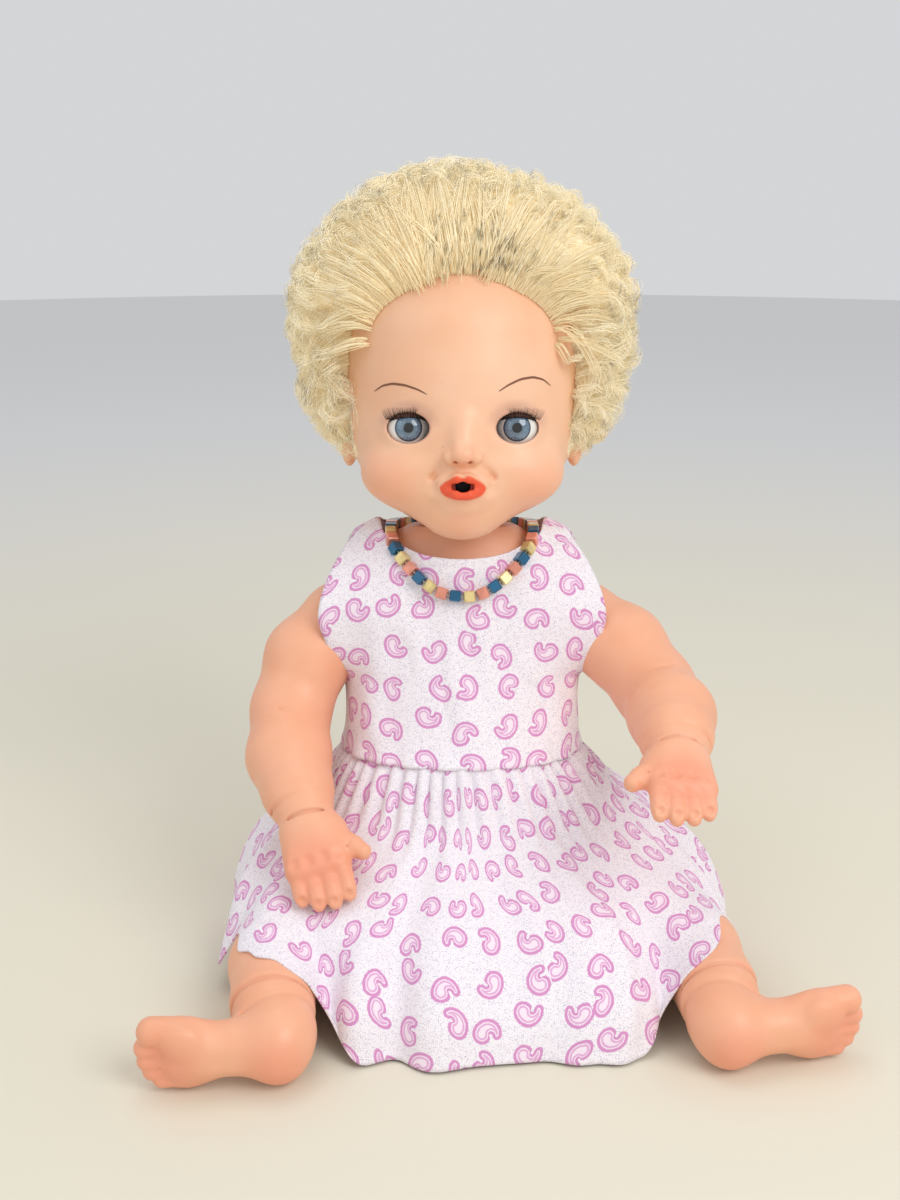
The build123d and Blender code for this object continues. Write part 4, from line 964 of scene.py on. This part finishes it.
def make_bodice():
    columns, rows = 97, 73
    tip, neck = (-51.0, -1.0, 208.5), (-41.0, 0.0, 213.0)
    waist_front = [(-61.5, -1, 95.5), (-53, -30, 95.5), (-32, -49, 95.5), (0, -57, 95.5)]
    side_front = [(-61.5, -1, 95.5), (-60.0, -1, 115), (-60.5, -3, 131), (-63.5, -15, 139), (-68.0, -23.5, 150),
                  (-70.5, -26.0, 163), (-68.5, -23.5, 177), (-62, -15.5, 192), (-55.5, -7, 202), tip]
    top_front = [tip, (-46, -0.5, 211), neck, (-38.5, -10, 209), (-33, -21, 203.5), (-20, -31.5, 198), (0, -35.5, 196)]
    waist_back = [(-61.5, -1, 95.5), (-53, 28, 95.5), (-32, 46, 95.5), (0, 54, 95.5)]
    side_back = [(-61.5, -1, 95.5), (-60.0, -1, 115), (-60.5, -3, 131), (-63.5, 10, 139), (-67.5, 20.5, 152),
                 (-68.0, 25.5, 168), (-64, 23, 184), (-58.5, 13, 196), (-54, 5, 204), tip]
    top_back = [tip, (-46, -0.5, 211), neck, (-38, 14, 210.5), (-30, 28, 208.5), (-16, 37, 207.5), (0, 39.5, 207)]
    verts, uvs, quads = [], [], []
    for waist, side, top, facing in ((waist_front, side_front, top_front, 0), (waist_back, side_back, top_back, 1)):
        bottom, upper = curve(both(waist), columns), curve(both(top), columns)
        left = curve(side, rows)
        grid = patch(bottom, upper, left, left * (-1, 1, 1))
        u = np.linspace(-1, 1, columns)[:, None]
        v = np.linspace(0, 1, rows)[None]
        grid = bodice_outside(grid, u, v)
        edge = step(np.abs(u), 1.0, 0.86)
        billow = (1.3 * np.sin(u * 9 + v * 4.5 + facing) * np.sin(v * 5.2 + 0.5) + 0.8 * np.sin(u * 21 + v * 7)) * edge
        billow = billow * step(v, 0.0, 0.12) * step(-v, -0.72, -0.5)
        hem = 1.8 * np.exp(-(v / 0.05) ** 2) * np.abs(np.sin(u * 17 + facing))
        out = unit(np.stack([grid[..., 0], (grid[..., 1] - 2) * 1.3, np.zeros(grid.shape[:2])], -1))
        strap = 2.3 * step(v, 0.50, 0.62) * step(np.abs(u), 0.35, 0.60)
        grid = grid + out * (np.maximum(billow, -0.3) + hem + strap - 1.0)[..., None]
        world = lean(grid)
        along_u = np.linalg.norm(np.diff(world, axis=0), axis=2)
        arc = np.concatenate([np.zeros((1, rows)), np.cumsum(along_u, 0)])
        arc = arc - arc[columns // 2]
        rise = np.concatenate([np.zeros((columns, 1)), np.cumsum(np.linalg.norm(np.diff(world, axis=1), axis=2), 1)], 1)
        flip = -1 if facing else 1
        uvs.append(np.stack([arc * flip * MM + facing * 0.31, rise * MM], -1).reshape(-1, 2))
        base = sum(len(v) for v in verts)
        i, j = np.meshgrid(np.arange(columns - 1), np.arange(rows - 1), indexing="ij")
        a = base + i * rows + j
        quad = np.stack([a, a + rows, a + rows + 1, a + 1], -1).reshape(-1, 4)
        quads.append(quad[:, ::-1] if facing else quad)
        verts.append(world.reshape(-1, 3))
    piece = make("bodice_cloth", np.vstack(verts), np.vstack(quads), "trunk", ["dress_bodice"], material=PRINT,
                 uv=np.vstack(uvs))
    weld = piece.modifiers.new("Seams", "WELD")
    weld.merge_threshold = 0.0004
    thick = piece.modifiers.new("Cloth thickness", "SOLIDIFY")
    thick.thickness, thick.offset = 0.0011, 1.0


SKIRT = np.array([(74, -80, 84, -60, 76, 2.0), (60, -97, 103, -80, 83, 2.2), (45, -111, 122, -104, 88, 2.8),
                  (22, -119, 134, -126, 93, 2.8), (1.2, -121, 137, -135, 96, 2.7)])


def leg_points(side):
    p = np.array([a for a, _ in LEG_LINE], float)
    r = np.array([r for _, r in LEG_LINE])
    if side > 0:
        p = turn(p * (-1, 1, 1), HIP * (-1, 1, 1), (0, 0, 1), 15.0)
    return p, r


def over_leg(x, y, side):
    """Height of cloth lying over a leg and falling away beside it."""
    p, r = leg_points(side)
    best = np.full(x.shape, -50.0)
    for a, b, ra, rb in zip(p, p[1:], r, r[1:]):
        d = b[:2] - a[:2]
        t = np.clip(((x - a[0]) * d[0] + (y - a[1]) * d[1]) / (d @ d), 0, 1)
        off = np.hypot(x - a[0] - t * d[0], y - a[1] - t * d[1])
        radius = ra + (rb - ra) * t + 2.2
        middle = a[2] + (b[2] - a[2]) * t
        knee = radius * 0.80
        round_part = middle + np.sqrt(np.maximum(radius ** 2 - np.minimum(off, knee) ** 2, 0))
        best = np.maximum(best, round_part - np.maximum(off - knee, 0) * 1.75)
    return best


def make_skirt():
    columns, rows = 361, 84
    angle = np.linspace(0, 2 * np.pi, columns)
    cosine, sine = np.cos(angle), np.sin(angle)
    levels = []
    waist = lean(np.stack([58.8 * cosine, -1 + 53.8 * sine, np.full(columns, 97.0)], 1))
    levels.append(waist)
    for z, left, right, front, back, power in SKIRT:
        mid, half = ((left + right) / 2, (front + back) / 2), ((right - left) / 2 - 0.8, (back - front) / 2 - 0.8)
        x = mid[0] + half[0] * np.sign(cosine) * np.abs(cosine) ** (2 / power)
        y = mid[1] + half[1] * np.sign(sine) * np.abs(sine) ** (2 / power)
        levels.append(np.stack([x, y, np.full(columns, float(z))], 1))
    levels = np.array(levels)
    grid = np.empty((columns, rows, 3))
    for i in range(columns):
        grid[i] = curve(levels[:, i], rows)
    x, y, z = grid[..., 0].copy(), grid[..., 1].copy(), grid[..., 2].copy()
    t = np.linspace(0, 1, rows)[None]
    a = angle[:, None]
    out = grid - np.array([4, 0, 0])
    out[..., 2] = 0
    out = unit(out)
    # Gathers at the waist run into wider folds towards the hem
    tight = np.sin(a * 52 + 1.5 * np.sin(a * 7)) * (1.9 * step(t, 0.0, 0.05) * step(-t, -0.42, -0.08))
    phase = a * 15 + 1.3 * np.sin(a * 4 + 0.6) + 0.9 * np.sin(a * 7)
    wide = np.sin(phase) * (3.8 * step(t, 0.08, 0.75))
    crumple = 0.8 * np.sin(a * 33 + t * 9 + 2 * np.sin(a * 5)) * step(t, 0.1, 0.4)
    fold = tight + wide + crumple - 2.4 * step(t, 0.0, 0.3)
    hand = np.array([[-66, -74, 66], [-58, -66, 74], [-76, -58, 78], [-60, -86, 58]], float)
    near = np.min([np.linalg.norm(grid - h, axis=2) for h in hand], axis=0)
    calm = step(near, 14, 34)
    fold = fold * calm - 1.6 * (1 - calm)
    x, y = x + out[..., 0] * fold, y + out[..., 1] * fold
    z = z + 0.35 * fold * step(t, 0.05, 0.3) * step(z, 1, 30)
    right, left = over_leg(x, y, -1), over_leg(x, y, 1)
    legs = np.maximum(right, left)
    legs = np.where(t > 0.12, legs, -50)
    h = np.maximum(10.0 - np.abs(z - legs), 0) / 10.0
    z = np.maximum(z, legs) + h * h * 10.0 / 4 * (legs > -10)
    z = np.maximum(z, 1.1)
    grid = np.stack([x, y, z], -1)
    top = grid[:, :1].copy()
    grid[:, 0] = waist + unit(waist * (1, 1, 0)) * 0.2
    rise = np.concatenate([np.zeros((columns, 1)), np.cumsum(np.linalg.norm(np.diff(grid, axis=1), axis=2), 1)], 1)
    hem = np.r_[0, np.cumsum(np.linalg.norm(np.diff(grid[:, -12], axis=0), axis=1))]
    u = np.repeat(hem[:, None], rows, 1)
    uv = np.stack([u, -rise], -1) * MM
    i, j = np.meshgrid(np.arange(columns - 1), np.arange(rows - 1), indexing="ij")
    a0 = i * rows + j
    quads = np.stack([a0, a0 + 1, a0 + rows + 1, a0 + rows], -1).reshape(-1, 4)
    piece = make("skirt_cloth", grid.reshape(-1, 3), quads, "trunk", ["dress_skirt"], material=PRINT,
                 uv=uv.reshape(-1, 2))
    weld = piece.modifiers.new("Back seam", "WELD")
    weld.merge_threshold = 0.0003
    thick = piece.modifiers.new("Cloth thickness", "SOLIDIFY")
    thick.thickness, thick.offset = 0.0010, 1.0


# ---------------------------------------------------------------- materials of the CAD nodes that stay
def dress_nodes():
    steel = plain_material("steel", linear(0.70, 0.70, 0.70), 0.3, 1.0)
    white = plain_material("white_plastic", linear(0.88, 0.87, 0.84), 0.4)
    grey = plain_material("grey_plastic", linear(0.55, 0.55, 0.56), 0.42)
    board = plain_material("green_board", linear(0.12, 0.36, 0.20), 0.4, 0.0, 300.0, 0.2, 0.4)
    black = plain_material("black_resin", linear(0.07, 0.07, 0.08), 0.35)
    paper = plain_material("speaker_paper", linear(0.20, 0.19, 0.18), 0.9, 0.0, 400.0, 0.5)
    cells = plain_material("battery_label", linear(0.16, 0.18, 0.22), 0.3, 0.3, 90.0, 0.05, 0.5)
    red = plain_material("wire_jacket", linear(0.70, 0.12, 0.10), 0.45)
    lips = plain_material("mouth_red", linear(0.70, 0.22, 0.14), 0.4)
    torso = plain_material("torso_vinyl", linear(0.93, 0.69, 0.56), 0.46, 0.0, 30.0, 0.1)
    weight = plain_material("weight_iron", linear(0.42, 0.42, 0.44), 0.55, 0.8)
    thread = plain_material("elastic_thread", linear(0.90, 0.89, 0.86), 0.7, 0.0, 900.0, 0.4)
    named = {
        "torso_front_shell": torso, "torso_back_shell": torso, "torso_screws": steel, "battery_box": grey,
        "battery_door": torso, "battery_door_screw": steel, "batteries": cells, "battery_contacts": steel,
        "speaker_basket": black, "speaker_cone": paper, "speaker_magnet": steel, "circuit_board": board,
        "board_components": black, "power_switch_housing": black, "power_switch_knob": white, "voice_wires": red,
        "right_eye_housing": white, "left_eye_housing": white, "mouth_tube": lips, "mouth_switch_body": black,
        "mouth_spring": steel, "mouth_plunger": black, "right_eye_weight": weight, "left_eye_weight": weight,
        "necklace_elastic": thread,
        "beads_cream": bead_material("cream_beads", linear(0.93, 0.84, 0.58), 0.25),
        "beads_pink": bead_material("salmon_beads", linear(0.93, 0.60, 0.50), 0.15),
        "beads_blue": bead_material("teal_beads", linear(0.12, 0.42, 0.58), 0.45),
    }
    for name, material in named.items():
        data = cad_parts[name].data
        data.materials.clear()
        data.materials.append(material)


# ---------------------------------------------------------------- studio
def make_stage():
    """A round pale table top, cream under the doll and paler far off."""
    reach, sides = 4.0, 128
    angles = np.arange(sides) * 2 * math.pi / sides
    mesh = bpy.data.meshes.new("table_top")
    mesh.from_pydata([(reach * math.cos(a), reach * math.sin(a), 0.0) for a in angles], [], [range(sides)])
    n = Nodes("pale_table")
    at = n.add("SeparateXYZ", {0: n.add("TexCoord").outputs["Object"]}).outputs
    far = n.math("SQRT", n.math("ADD", n.math("MULTIPLY", at[0], at[0]), n.math("MULTIPLY", at[1], at[1])))
    colour = n.mix(n.map(far, 0.3, 1.6), linear(0.89, 0.87, 0.80), linear(0.90, 0.90, 0.90))
    n.bump(n.noise(60.0, 4.0), 0.05, 0.001)
    mesh.materials.append(n.finish(Base_Color=colour, Roughness=0.75))
    floor = bpy.data.objects.new("pale_floor", mesh)
    bpy.context.scene.collection.objects.link(floor)


def area_light(name, place, target, size, power, colour):
    data = bpy.data.lights.new(name, "AREA")
    data.shape, data.size, data.energy, data.color = "DISK", size, power, colour
    light = bpy.data.objects.new(name, data)
    light.location = place
    light.rotation_euler = (Vector(target) - Vector(place)).to_track_quat("-Z", "Y").to_euler()
    bpy.context.scene.collection.objects.link(light)


def make_studio():
    make_stage()
    world = bpy.data.worlds.new("studio")
    world.use_nodes = True
    world.node_tree.nodes["Background"].inputs[0].default_value = (0.97, 0.98, 1.0, 1)
    world.node_tree.nodes["Background"].inputs[1].default_value = 0.68
    bpy.context.scene.world = world
    area_light("key", (0.75, -0.85, 1.05), (0, -0.02, 0.2), 0.9, 8.8, (1.0, 0.985, 0.96))
    area_light("fill", (-0.9, -0.9, 0.7), (0, 0, 0.2), 1.2, 1.8, (0.95, 0.97, 1.0))
    area_light("rim", (-0.2, 0.1, 1.4), (0, 0, 0.3), 0.8, 2.6, (1, 1, 1))
    data = bpy.data.cameras.new("camera")
    data.sensor_width, data.lens, data.sensor_fit = 36.0, 42.0, "AUTO"
    camera = bpy.data.objects.new("camera", data)
    camera.location = (-0.006, -0.664, 0.380)
    camera.rotation_euler = (math.radians(73.0), 0, 0)
    bpy.context.scene.collection.objects.link(camera)
    bpy.context.scene.camera = camera
    bpy.context.scene.view_settings.view_transform = "Standard"


head_points, head_faces = make_head()
make_brows(head_points, head_faces)
make_eyes()
make_hair()
make_limbs()
make_bodice()
make_skirt()
dress_nodes()
make_studio()
